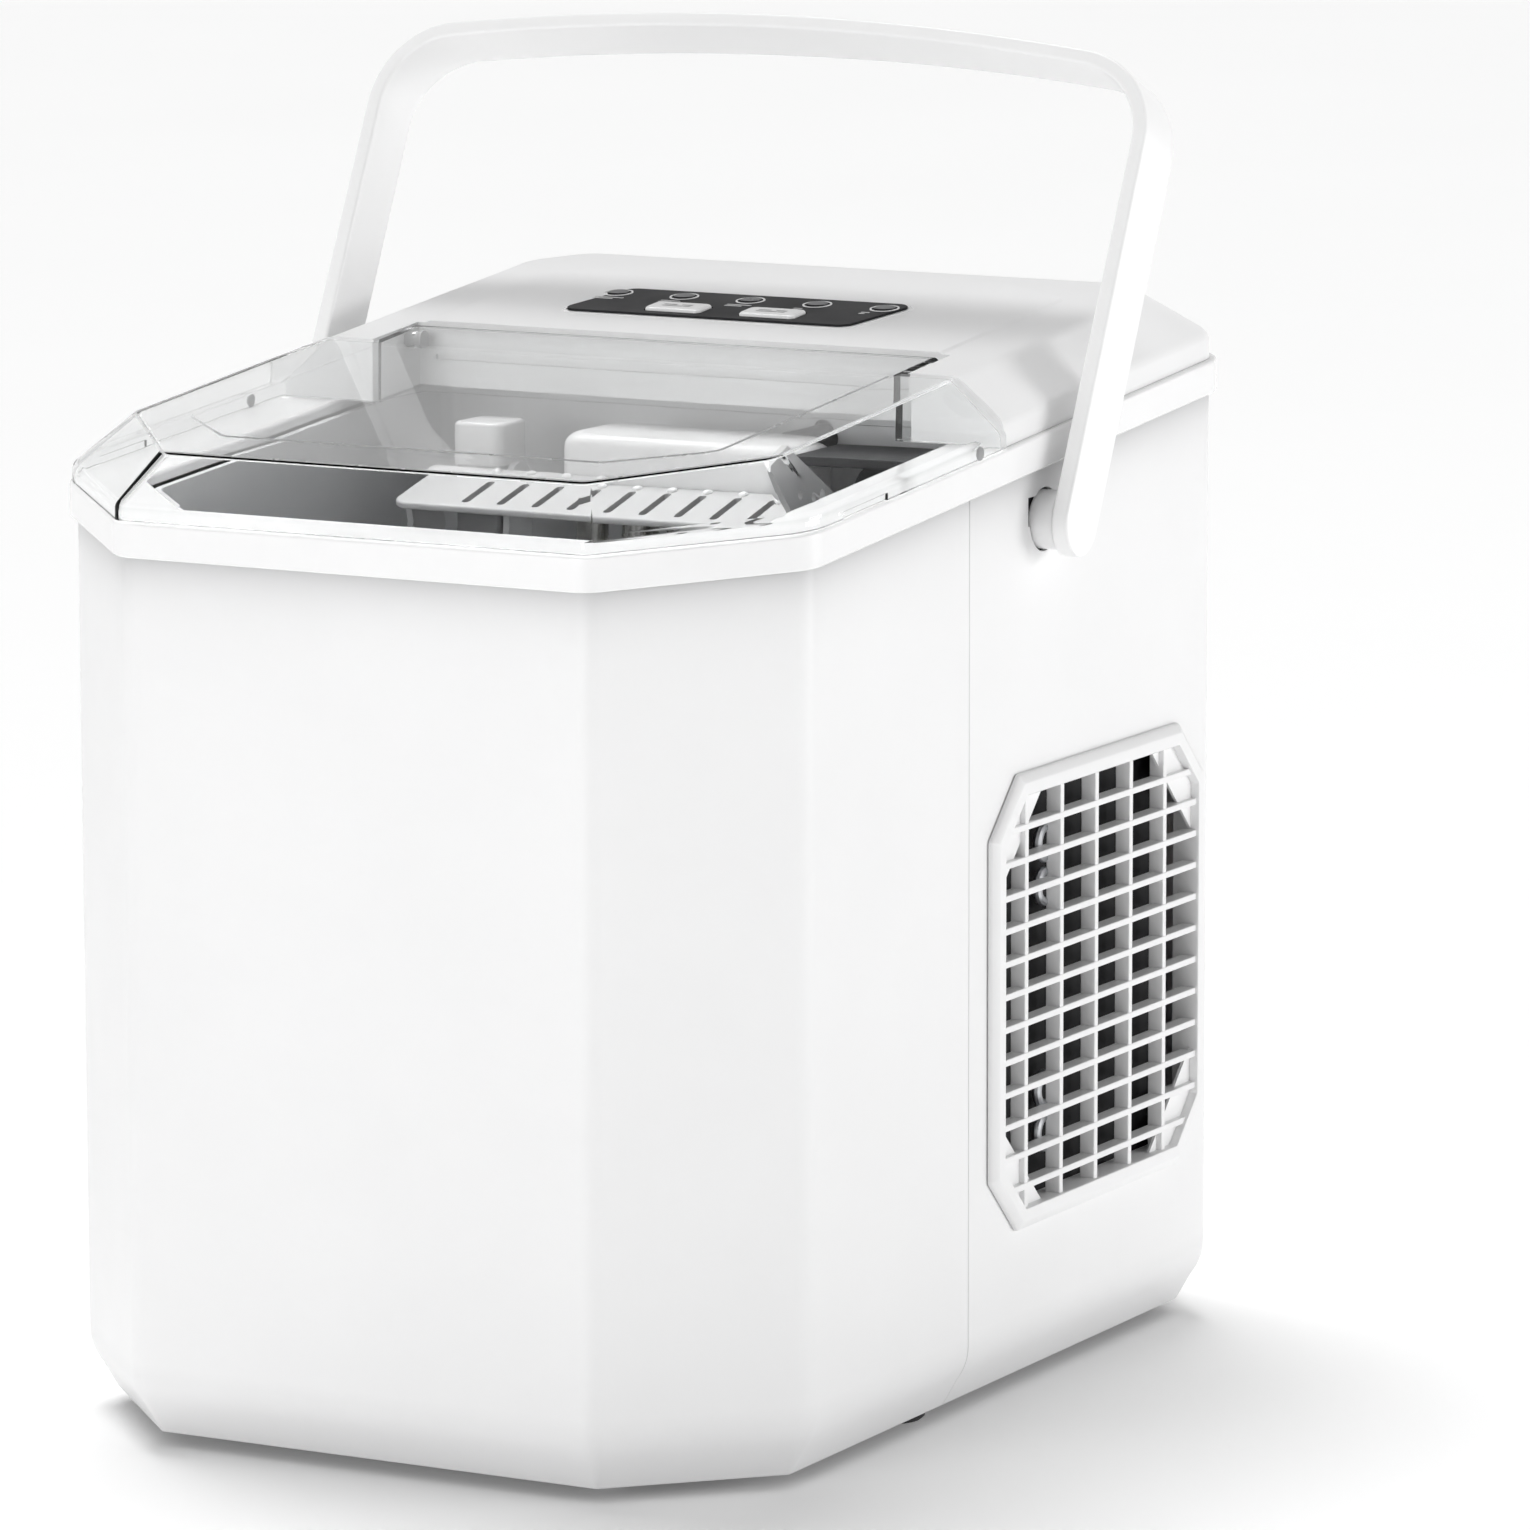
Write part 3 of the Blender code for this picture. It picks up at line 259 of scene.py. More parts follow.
def tint(material, source, first, second):
    """Blends two colours by a factor into the base colour."""
    mix = new_node(material, "ShaderNodeMix", data_type="RGBA")
    mix.inputs["A"].default_value = (*first, 1)
    mix.inputs["B"].default_value = (*second, 1)
    wire(material, source, mix.inputs["Factor"])
    wire(material, mix.outputs["Result"], shader_of(material).inputs["Base Color"])


def paint_shade(material, source, colour):
    """Paints shade: blends the material's colour towards a darker one by a factor."""
    socket = shader_of(material).inputs["Base Color"]
    mix = new_node(material, "ShaderNodeMix", data_type="RGBA")
    wire(material, socket.links[0].from_socket, mix.inputs["A"])
    mix.inputs["B"].default_value = (*colour, 1)
    wire(material, source, mix.inputs["Factor"])
    wire(material, mix.outputs["Result"], socket)


def arithmetic(material, operation, first, second, third=0.0):
    """One sum on sockets or plain numbers."""
    node = new_node(material, "ShaderNodeMath", operation=operation)
    for socket, value in zip(node.inputs, (first, second, third)):
        if isinstance(value, float):
            socket.default_value = value
        else:
            wire(material, value, socket)
    return node.outputs["Value"]


def relief(material, source, depth):
    """Bump of a real depth in metres."""
    bump = new_node(material, "ShaderNodeBump")
    dial(bump, Strength=1.0, Distance=depth)
    wire(material, source, bump.inputs["Height"])
    wire(material, bump.outputs["Normal"], shader_of(material).inputs["Normal"])


def plastic(name, colour, roughness, grain=2500.0, depth=6e-6, shift=0.02, coat=0.0, sheen=0.5):
    """Moulded plastic: fine grain, slow drift in gloss and a faint drift in colour."""
    material = new_material(name)
    shader = shader_of(material)
    darker = [c * (1 - shift) for c in colour]
    tint(material, spread(material, noise(material, 18), 0, 1), colour, darker)
    gloss = spread(material, noise(material, 55, 4), roughness * 0.88, roughness * 1.12)
    wire(material, gloss, shader.inputs["Roughness"])
    relief(material, noise(material, grain, 2), depth)
    dial(shader, IOR=1.5, Specular_IOR_Level=sheen, Coat_Weight=coat, Coat_Roughness=0.08)
    return material


def ridge_highlight_plastic():
    """The lid's rounded ridge: clear plastic made pale and partly frosted, a painted highlight
    along the ridge.
    """
    material = clear_plastic("clear lid edge with painted highlight", (0.96, 0.965, 0.965), 0.3)
    dial(shader_of(material), Transmission_Weight=RIDGE_HIGHLIGHT_CLARITY)
    return material


def let_lamps_through(material):
    """A clear wall does not shade what lies behind it."""
    path = new_node(material, "ShaderNodeLightPath")
    through = new_node(material, "ShaderNodeBsdfTransparent")
    dial(through, Color=(LAMP_SHARE, LAMP_SHARE, LAMP_SHARE, 1))
    mix = new_node(material, "ShaderNodeMixShader")
    wire(material, path.outputs["Is Shadow Ray"], mix.inputs["Fac"])
    wire(material, shader_of(material).outputs["BSDF"], mix.inputs[1])
    wire(material, through.outputs["BSDF"], mix.inputs[2])
    wire(material, mix.outputs["Shader"],
         material.node_tree.nodes["Material Output"].inputs["Surface"])


def clear_plastic(name, colour, roughness):
    """Clear moulded plastic with faint flow waves in its surface."""
    material = new_material(name)
    shader = shader_of(material)
    tint(material, spread(material, noise(material, 30), 0, 1), colour, [c * 0.985 for c in colour])
    wire(material, spread(material, noise(material, 80), roughness * 0.6, roughness * 1.4),
         shader.inputs["Roughness"])
    relief(material, noise(material, 45, 1), 2e-5)
    dial(shader, IOR=1.22, Transmission_Weight=1.0)
    let_lamps_through(material)
    return material


def shell_plastic_with_painted_shade():
    """The casing's satin white with painted shade: darker just under the rim and on the tucked-in
    foot.
    """
    material = plastic("casing white with painted shade", (0.84, 0.84, 0.842), 0.36)
    place = new_node(material, "ShaderNodeTexCoord")
    parts = new_node(material, "ShaderNodeSeparateXYZ")
    wire(material, place.outputs["Object"], parts.inputs["Vector"])
    # painted shade under the rim: darkest at the rim's underside, fading downwards
    under_rim = (rim_height(0.0) - RIM_H + FOOT_H) * MM
    level = arithmetic(material, "MULTIPLY_ADD", parts.outputs["Y"], -RIM_SLOPE,
                       parts.outputs["Z"])
    steps = arithmetic(material, "MULTIPLY_ADD", level, 1 / PAINTED_SHADE_REACH, -under_rim / PAINTED_SHADE_REACH)
    top = arithmetic(material, "EXPONENT", steps, 0.0)
    # painted shade on the tucked-in foot, darkest at the bottom
    foot = new_node(material, "ShaderNodeMapRange")
    dial(foot, From_Min=FOOT_H * MM, From_Max=(FOOT_H + CHAMFER_H + 6.0) * MM, To_Min=0.42,
         To_Max=0.0)
    wire(material, parts.outputs["Z"], foot.inputs["Value"])
    factor = arithmetic(material, "MAXIMUM", top, foot.outputs["Result"])
    paint_shade(material, factor, (0.44, 0.44, 0.445))
    return material


def metal(name, colour, roughness, stretch=(1, 1, 1), depth=1.5e-5, scale=900.0):
    """Drawn or brushed metal with streaks along one direction."""
    material = new_material(name)
    shader = shader_of(material)
    dial(shader, Metallic=1.0)
    streak = noise(material, scale, 4, stretch)
    tint(material, spread(material, noise(material, 40), 0, 1), colour, [c * 0.88 for c in colour])
    wire(material, spread(material, streak, roughness * 0.75, roughness * 1.3),
         shader.inputs["Roughness"])
    relief(material, streak, depth)
    return material


MATERIALS = {
    "white_plastic": plastic("satin white", (0.84, 0.84, 0.842), 0.36),
    "gloss_white": plastic("gloss white", (0.86, 0.86, 0.862), 0.16, depth=2e-6, coat=0.4),
    "clear": clear_plastic("clear lid", (0.985, 0.99, 0.99), 0.015),
    "black_plastic": plastic("satin black", (0.022, 0.022, 0.024), 0.42, 1800, 1.2e-5, 0.15,
                             sheen=0.25),
    "panel_grey": plastic("printed film", (0.03, 0.03, 0.032), 0.34, 5000, 3e-6, 0.08,
                          sheen=0.02),
    "grey_plastic": plastic("basket grey", (0.27, 0.272, 0.276), 0.4, 1600, 1e-5, 0.05),
    "pale_grey": plastic("tub grey", (0.7, 0.705, 0.712), 0.32, 1600, 8e-6, 0.03),
    "rubber": plastic("rubber", (0.02, 0.02, 0.021), 0.7, 1200, 2.5e-5, 0.2),
    "silicone": plastic("silicone", (0.74, 0.74, 0.72), 0.45, 900, 1e-5, 0.04),
    "board_green": plastic("circuit board", (0.02, 0.13, 0.06), 0.4, 700, 2e-5, 0.3),
    "steel": metal("zinc steel", (0.62, 0.63, 0.65), 0.34, (1, 1, 0.08)),
    "nickel": metal("nickel", (0.72, 0.71, 0.68), 0.2, (1, 1, 0.3)),
    "copper": metal("copper", (0.78, 0.4, 0.25), 0.28, (1, 1, 0.3)),
    "black_steel": plastic("black enamel", (0.012, 0.012, 0.013), 0.5, 400, 3e-5, 0.15,
                           sheen=0.12),
}
# painted light: a lighter copy of the satin white, so the handle reads brighter
HANDLE_WHITE_PAINTED_LIGHT = plastic("handle white with painted light", (0.92, 0.92, 0.92), 0.34)
# painted shade: a darker copy of the satin white for the shovel inside the tub
SHOVEL_WHITE_PAINTED_SHADE = plastic("shovel white with painted shade", (0.52, 0.52, 0.522), 0.42)
# painted shade: a dark grey for the bearing post, standing in for the shade under the shovel
POST_GREY_PAINTED_SHADE = plastic("post grey with painted shade", (0.3, 0.3, 0.305), 0.5)
LENS = plastic("smoked lens", (0.16, 0.16, 0.165), 0.3, 900, 4e-6, 0.05, sheen=0.1)
# pale ridge strips: a painted highlight along the lid's ridge
RIDGE_HIGHLIGHT = ridge_highlight_plastic()
# casing white with painted shade under the rim and on the foot
SHELL_WHITE_PAINTED_SHADE = shell_plastic_with_painted_shade()
PRINT = plastic("pale print", (0.62, 0.62, 0.62), 0.5, 2500, 4e-6, 0.05, sheen=0.1)
DARK_PRINT = plastic("grey print", (0.34, 0.34, 0.345), 0.5, 2500, 4e-6, 0.05, sheen=0.1)


# Shape helpers, in millimetres

def loft(loops, capped=True, ring=False):
    """Body through loops of equal length, capped at both ends or closed into a ring."""
    bm = bmesh.new()
    rows = [[bm.verts.new(point) for point in loop] for loop in loops]
    pairs = list(zip(rows, rows[1:]))
    if ring:
        pairs.append((rows[-1], rows[0]))
    for low, high in pairs:
        for i in range(len(low)):
            j = (i + 1) % len(low)
            bm.faces.new((low[i], low[j], high[j], high[i]))
    if capped and not ring:
        bm.faces.new(list(reversed(rows[0])))
        bm.faces.new(rows[-1])
    return bm


def fillet(corners, radius, segments=8):
    """Closed outline with every corner rounded by a tangent arc."""
    outline = []
    count = len(corners)
    radii = radius if isinstance(radius, (list, tuple)) else [radius] * count
    for i, corner in enumerate(corners):
        here = Vector(corner)
        to_before = (Vector(corners[i - 1]) - here).normalized()
        to_after = (Vector(corners[(i + 1) % count]) - here).normalized()
        half = to_before.angle(to_after) / 2
        centre = here + (to_before + to_after).normalized() * radii[i] / math.sin(half)
        start = here + to_before * radii[i] / math.tan(half) - centre
        end = here + to_after * radii[i] / math.tan(half) - centre
        first = math.atan2(start.y, start.x)
        turn = math.atan2(end.y, end.x) - first
        turn = (turn + math.pi) % (2 * math.pi) - math.pi
        for k in range(segments + 1):
            angle = first + turn * k / segments
            outline.append((centre.x + radii[i] * math.cos(angle),
                            centre.y + radii[i] * math.sin(angle)))
    return outline


def grow(corners, distance):
    """Moves each edge of a counter-clockwise polygon outwards."""
    moved = []
    count = len(corners)
    for i, corner in enumerate(corners):
        here = Vector(corner)
        edge_in = (here - Vector(corners[i - 1])).normalized()
        edge_out = (Vector(corners[(i + 1) % count]) - here).normalized()
        normal_in = Vector((edge_in.y, -edge_in.x))
        normal_out = Vector((edge_out.y, -edge_out.x))
        step = (normal_in + normal_out) / (1 + normal_in.dot(normal_out))
        moved.append(tuple(here + step * distance))
    return moved


def raise_to(outline, height):
    if callable(height):
        return [(x, y, height(y)) for x, y in outline]
    return [(x, y, height) for x, y in outline]


def prism(outline, low, high):
    return loft([raise_to(outline, low), raise_to(outline, high)])


def rectangle(x_range, y_range):
    return [(x_range[0], y_range[0]), (x_range[1], y_range[0]),
            (x_range[1], y_range[1]), (x_range[0], y_range[1])]


def block(x_range, y_range, z_range):
    return prism(rectangle(x_range, y_range), z_range[0], z_range[1])


def side_prism(profile, x_range):
    return loft([[(x, y, z) for y, z in profile] for x in x_range])


def quarter(radius, steps=4):
    """Offsets (inwards, upwards) that round an upper outer edge, from its side to its top."""
    places = []
    for k in range(steps + 1):
        angle = math.radians(90) * k / steps
        places.append((radius * (1 - math.cos(angle)), radius * (math.sin(angle) - 1)))
    return places


def disc_loops(profile, centre, sides=40):
    """Loops of a turned body about an axis along x, from (x, radius) pairs."""
    loops = []
    for x, radius in profile:
        loop = []
        for k in range(sides):
            angle = 2 * math.pi * k / sides
            loop.append((x, centre[0] + radius * math.cos(angle),
                         centre[1] + radius * math.sin(angle)))
        loops.append(loop)
    return loops


def to_object(name, bm):
    """Object in metres, standing on its feet, from a bmesh in millimetres."""
    bmesh.ops.recalc_face_normals(bm, faces=bm.faces)
    bmesh.ops.translate(bm, vec=(0, 0, FOOT_H), verts=bm.verts)
    bmesh.ops.scale(bm, vec=(MM, MM, MM), verts=bm.verts)
    mesh = bpy.data.meshes.new(name)
    bm.to_mesh(mesh)
    bm.free()
    made = bpy.data.objects.new(name, mesh)
    bpy.context.scene.collection.objects.link(made)
    return made


def combine(base, other, operation):
    """Exact boolean of an object with another, or with a bmesh in millimetres."""
    if not isinstance(other, bpy.types.Object):
        other = to_object("operand", other)
    step = base.modifiers.new(operation, "BOOLEAN")
    step.operation = operation
    step.object = other
    step.solver = "EXACT"
    graph = bpy.context.evaluated_depsgraph_get()
    result = bpy.data.meshes.new_from_object(base.evaluated_get(graph))
    base.modifiers.clear()
    base.data = result
    bpy.data.objects.remove(other)
    return base


def cut(base, *tools):
    for tool in tools:
        combine(base, tool, "DIFFERENCE")
    return base


def join(base, *tools):
    for tool in tools:
        combine(base, tool, "UNION")
    return base


def smooth(obj, degrees=35):
    obj.data.shade_smooth()
    obj.data.set_sharp_from_angle(angle=math.radians(degrees))
    weighted = obj.modifiers.new("weighted", "WEIGHTED_NORMAL")
    weighted.keep_sharp = True
    weighted.weight = 90
    return obj


def ease(obj, width, segments=2, degrees=35):
    """Rounds every crisp edge by width millimetres."""
    bevel = obj.modifiers.new("eased edges", "BEVEL")
    bevel.width = width * MM
    bevel.segments = segments
    bevel.limit_method = "ANGLE"
    bevel.angle_limit = math.radians(degrees)
    bevel.use_clamp_overlap = True
    return obj


def show(obj, body, slot, replaced=(), material=None):
    """Gives a finished piece its body and finish, and hides the CAD nodes it stands for."""
    obj.data.materials.clear()
    obj.data.materials.append(material or MATERIALS[slot])
    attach(obj, body)
    if replaced:
        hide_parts(*replaced)
    return obj


# Casing

def casing_corners():
    return [(HALF_W, HALF_D - REAR_CUT), (HALF_W - REAR_CUT, HALF_D),
            (-HALF_W + REAR_CUT, HALF_D), (-HALF_W, HALF_D - REAR_CUT),
            (-HALF_W, -HALF_D + FRONT_CUT), (-HALF_W + FRONT_CUT, -HALF_D),
            (HALF_W - FRONT_CUT, -HALF_D), (HALF_W, -HALF_D + FRONT_CUT)]


def casing_outline(offset):
    return fillet(grow(casing_corners(), offset), max(CORNER_R + offset, 1.0), 12)


def shell_half(distance, front):
    """Open outline of one casing half; its ends at the seam are eased."""
    soft = 0.12
    points = casing_outline(distance)
    side = HALF_W + distance
    if front:
        kept = [p for p in points if p[1] < SEAM_Y]
        edge = SEAM_Y
        return [(-side + soft, edge), (-side, edge - soft)] + kept + [(side, edge - soft),
                                                                     (side - soft, edge)]
    kept = sorted((p for p in points if p[1] > SEAM_Y),
                  key=lambda p: math.atan2(p[1] - SEAM_Y, p[0]))
    edge = SEAM_Y + GAP
    return [(side - soft, edge), (side, edge + soft)] + kept + [(-side, edge + soft),
                                                               (-side + soft, edge)]


def shell_loop(offset, front):
    return shell_half(offset, front) + list(reversed(shell_half(offset - WALL, front)))


def shell_levels():
    """(height, offset) pairs up the wall: tucked-in foot, soft chamfer, upright wall."""
    levels = [(0.0, -CHAMFER_IN - 0.5), (0.5, -CHAMFER_IN)]
    for k in range(9):
        t = k / 8
        height = CHAMFER_H - 6.5 + 9.5 * t
        slope = CHAMFER_IN / CHAMFER_H
        start = -CHAMFER_IN + slope * (CHAMFER_H - 6.5)
        levels.append((height, start * (1 - t) ** 2))
    return levels


def make_shells():
    def shell_top(y):
        return rim_height(y) - RIM_PLATE - GAP
    for name, front in (("front_shell", True), ("rear_shell", False)):
        loops = [raise_to(shell_loop(offset, front), height) for height, offset in shell_levels()]
        loops.append(raise_to(shell_loop(0.0, front), shell_top))
        shell = to_object(f"{name}_skin", loft(loops))
        if not front:
            cut_rear_shell(shell)
        smooth(shell, 40)
        show(shell, "casing", "white_plastic", (name,), SHELL_WHITE_PAINTED_SHADE)


def cut_rear_shell(shell):
    for side in (-1, 1):
        inner, outer = sorted((side * (HALF_W - 6), side * (HALF_W + 4)))
        cut(shell, side_prism(grille_outline(-GRILLE_FRAME * 0.5), (inner, outer)))
        cut(shell, loft(disc_loops([(inner, HUB_R + 0.7), (outer, HUB_R + 0.7)], PIVOT)))
        cut(shell, block((inner, outer), NOTCH_Y, NOTCH_Z))
    cut(shell, block(INLET_X, (HALF_D - 8, HALF_D + 4), INLET_Z))


# Rim

def make_rim():
    def above(lift):
        return lambda y: rim_height(y) + lift
    rounding = 0.9
    loops = [raise_to(casing_outline(RIM_OVERHANG - 0.4), above(-RIM_H)),
             raise_to(casing_outline(RIM_OVERHANG), above(-RIM_H + 0.4))]
    for inwards, upwards in quarter(rounding):
        loops.append(raise_to(casing_outline(RIM_OVERHANG - inwards), above(upwards)))
    rim = to_object("rim_skin", loft(loops))
    cut(rim, prism(casing_outline(0.35), 200.0, above(-RIM_PLATE)))
    ledge = grow(casing_corners(), RIM_OVERHANG - LEDGE_W)
    reach = HALF_W - LEDGE_W + RIM_OVERHANG
    opening = [(reach, TUB_REAR_Y - 4), (-reach, TUB_REAR_Y - 4)] + ledge[4:]
    flare = 1.2
    tool = [raise_to(fillet(opening, 5.0, 8), 200.0)]
    for inwards, upwards in quarter(flare):
        tool.append(raise_to(fillet(grow(opening, inwards), 5.0, 8), above(upwards)))
    tool.append(raise_to(fillet(grow(opening, flare + 1), 6.0, 8), above(1.0)))
    cut(rim, loft(tool))
    show(smooth(rim, 40), "casing", "gloss_white", ("rim_frame",))


# Lid

def lid_foot(offset):
    side = HALF_W + RIM_OVERHANG
    front = HALF_D + RIM_OVERHANG
    diagonal = FRONT_CUT + RIM_OVERHANG * (math.sqrt(2) - 1) * math.sqrt(2)
    rear = SPLIT_Y - LID_REAR_GAP
    corners = [(side, rear), (-side, rear), (-side, -front + diagonal),
               (-side + diagonal, -front), (side - diagonal, -front), (side, -front + diagonal)]
    return fillet(grow(corners, offset - 0.2), [1.0, 1.0, 20.0, 4.0, 4.0, 20.0], 10)


def lid_ridge(offset):
    rear = SPLIT_Y - LID_REAR_GAP
    corners = [(RIDGE_X, rear), (-RIDGE_X, rear), (-RIDGE_X, RIDGE_SIDE_Y),
               (-RIDGE_FRONT[0], RIDGE_FRONT[1]), RIDGE_FRONT, (RIDGE_X, RIDGE_SIDE_Y)]
    return fillet(grow(corners, offset), [1.0, 1.0, 10.0, 4.0, 4.0, 10.0], 10)


def between(first, second, t):
    return [tuple(Vector(a).lerp(Vector(b), t)) for a, b in zip(first, second)]


def lid_bulk(wall, floor):
    """The lid's outer or inner form: upright lip, steep bevel and sloping top."""
    foot = lid_foot(-wall)
    ridge = lid_ridge(-wall * 0.8)
    low = raise_to(foot, lambda y: rim_height(y) + floor)
    lip = raise_to(foot, lambda y: rim_height(y) + LID_LIP - wall * 0.4)
    top = raise_to(ridge, lambda y: top_height(y) - wall)
    flat = raise_to(lid_ridge(-wall * 0.8 - 0.5), lambda y: top_height(y) - wall)
    soft_lip = between(low, lip, 0.8)
    bevel_start = between(lip, top, 0.06)
    bevel_end = between(lip, top, 0.985)
    return loft([low, soft_lip, between(between(soft_lip, lip, 0.6), bevel_start, 0.35),
                 bevel_start, bevel_end, between(between(bevel_end, top, 0.5), flat, 0.3), flat])


def tongue_profile(shrink, floor):
    y, z = HINGE
    front = SPLIT_Y - 9.0 + shrink
    low = z - TONGUE_DROP - floor
    back = []
    for k in range(9):
        angle = math.radians(90) * k / 8
        back.append((y + (HINGE_R - shrink) * math.cos(angle),
                     z + (HINGE_R - shrink) * math.sin(angle)))
    return [(front, low), (y + HINGE_R - shrink, low), *back, (front, top_height(front) - shrink)]


def crease_outline(offset):
    corners = [(CREASE_X, -8.0), (-CREASE_X, -8.0), (-CREASE_X, -103.5), (-57.0, -123.5),
               (57.0, -123.5), (CREASE_X, -103.5)]
    return fillet(grow(corners, offset), [1.0, 1.0, 9.0, 4.0, 4.0, 9.0], 10)


def make_lid():
    lid = to_object("lid_clear", lid_bulk(0.0, GAP))
    join(lid, side_prism(tongue_profile(0.0, 0.0), (-TONGUE_X, TONGUE_X)))
    cut(lid, lid_bulk(LID_WALL, -5.0))
    for side in (-1, 1):
        outer = sorted((side * (HALF_W + RIM_OVERHANG - 1.0), side * (HALF_W + 6)))
        recess = rectangle(outer, RECESS_Y)
        cut(lid, prism(recess, 200.0, lambda y: rim_height(y) + 2.2))
    reach = TONGUE_X - LID_WALL
    cut(lid, side_prism(tongue_profile(LID_WALL, 6.0), (-reach, reach)))
    steps = ((0.8, -0.8), (0.3, 0.0), (-0.2, 0.3))
    join(lid, loft([raise_to(crease_outline(offset), lambda y, lift=lift: top_height(y) + lift)
                    for offset, lift in steps]))
    for side in (-1, 1):
        hole = disc_loops([(side * (TONGUE_X - 6), 2.5), (side * (TONGUE_X + 3), 2.5)], HINGE, 20)
        cut(lid, loft(hole))
    ease(lid, 0.35, 2, 50)
    show(smooth(lid, 30), "lid", "clear", ("lid",))
    paint_ridge_highlights(lid)
    for side, name in ((-1, "lid_stop_left"), (1, "lid_stop_right")):
        make_stop(side, name)


def paint_ridge_highlights(lid):
    """The narrow rounded strips between the bevel and the top take the paler material, a painted
    highlight.
    """
    lid.data.materials.append(RIDGE_HIGHLIGHT)
    for face in lid.data.polygons:
        if 0.8 < abs(face.normal.z) < 0.985 and face.area < 1e-4:
            face.material_index = 1


def make_stop(side, name):
    """Small moulded stop on the lid's lip."""
    y, lift = STOP_PLACE
    face = HALF_W + RIM_OVERHANG - 0.3
    profile = [(side * (face + out), radius) for out, radius in
               ((0.0, 1.9), (0.5, 1.8), (0.8, 1.3), (0.9, 0.4))]
    stop = to_object(name, loft(disc_loops(profile, (y, rim_height(y) + lift), 24)))
    show(smooth(stop, 60), "lid", "grey_plastic", material=DARK_PRINT)


# Housing

def housing_plan():
    """Corners of the housing's foot, of its ridge line and of the crease round its top."""
    side = HOUSING_X
    back = HALF_D - 0.6
    front = SPLIT_Y - 30.0
    foot = [(side, back - REAR_CUT), (side - REAR_CUT, back), (-side + REAR_CUT, back),
            (-side, back - REAR_CUT), (-side, front), (side, front)]
    ridge = [(RIDGE_X, RIDGE_REAR_Y), RIDGE_BACK, (-RIDGE_BACK[0], RIDGE_BACK[1]),
             (-RIDGE_X, RIDGE_REAR_Y), (-RIDGE_X, front), (RIDGE_X, front)]
    crease = [(CREASE_X, CREASE_REAR_Y), CREASE_BACK, (-CREASE_BACK[0], CREASE_BACK[1]),
              (-CREASE_X, CREASE_REAR_Y), (-CREASE_X, front), (CREASE_X, front)]
    return foot, ridge, crease


def housing_bulk(inset, drop, floor):
    """Solid of the housing's outside, or of its hollow with a larger inset and drop."""
    foot, ridge, crease = housing_plan()

    def outline(corners, offset, radius):
        return fillet(grow(corners, offset - inset), [radius] * 4 + [0.8, 0.8], 10)

    def wall_top(y):
        return rim_height(y) + HOUSING_WALL_H - drop * 0.5

    def upper(y):
        return top_height(y) - drop

    low = raise_to(outline(foot, 0, CORNER_R), lambda y: rim_height(y) + floor)
    edge = raise_to(outline(foot, 0, CORNER_R), wall_top)
    top = raise_to(outline(ridge, 0, 10.0), upper)
    flat = raise_to(outline(ridge, -2.5, 10.0), upper)
    wall_soft = between(low, edge, 0.75)
    bevel_start = between(edge, top, 0.1)
    bevel_end = between(edge, top, 0.86)
    loops = [low, wall_soft, between(between(wall_soft, edge, 0.6), bevel_start, 0.35),
             bevel_start, bevel_end]
    for t in (0.25, 0.5, 0.75):
        loops.append(between(between(bevel_end, top, t), between(top, flat, t), t))
    loops.append(flat)
    for offset, lift in ((0.8, 0.0), (0.3, 0.18), (-0.3, 0.45), (-0.9, PANEL_RISE)):
        loops.append(raise_to(outline(crease, offset, 8.0),
                              lambda y, lift=lift: top_height(y) - drop + lift))
    return loft(loops)


def rounded_box(centre, size, radius, low, high, clearance=0.0):
    x, y = centre
    half_x = size[0] / 2 + clearance
    half_y = size[1] / 2 + clearance
    corners = rectangle((x - half_x, x + half_x), (y - half_y, y + half_y))
    return prism(fillet(corners, radius, 6), low, high)


def vertical_rod(x, y, radius, low, high, sides=32):
    circle = [(x + radius * math.cos(2 * math.pi * k / sides),
               y + radius * math.sin(2 * math.pi * k / sides)) for k in range(sides)]
    return prism(circle, low, high)


def panel_corners():
    left, right = PANEL_X
    return [(left, PANEL_Y[0]), (right - PANEL_SKEW, PANEL_Y[0]),
            (right, PANEL_Y[1]), (left + PANEL_SKEW, PANEL_Y[1])]


def over_top(lift):
    return lambda y: top_height(y) + PANEL_RISE + lift


def make_housing():
    housing = to_object("housing_skin", housing_bulk(0.0, 0.0, 0.05))
    cut(housing, block((-130, 130), (-60, SPLIT_Y), (200, 320)),
        block((-BAY_X, BAY_X), (-40, BAY_Y), (200, 320)))
    hollow = to_object("hollow", housing_bulk(WALL, WALL, -5.0))
    cut(hollow, block((-130, 130), (-60, SPLIT_Y + WALL), (200, 320)),
        block((-BAY_X - WALL, BAY_X + WALL), (-40, BAY_Y + WALL), (200, 320)))
    cut(housing, hollow)
    for side in (-1, 1):
        cut(housing, loft(disc_loops([(side * (BAY_X - 2), 2.5), (side * (BAY_X + 6), 2.5)],
                                     HINGE, 20)))
    for x in BUTTON_X:
        cut(housing, rounded_box((x, BUTTON_Y), BUTTON_SIZE, BUTTON_ROUND,
                                 BUTTON_HOLE_FROM, HOUSING_HOLE_TO, GAP))
    for x in LIGHT_X:
        cut(housing, vertical_rod(x, LIGHT_Y, LIGHT_R + GAP, LIGHT_HOLE_FROM, HOUSING_HOLE_TO))
    cut(housing, block((-BAY_X + 6, BAY_X - 6), (BAY_Y - 1, BAY_Y + 1.5),
                       (LEDGE_HEIGHT - 0.7, LEDGE_HEIGHT + 0.7)))
    show(smooth(housing, 28), "casing", "white_plastic", ("control_housing",))


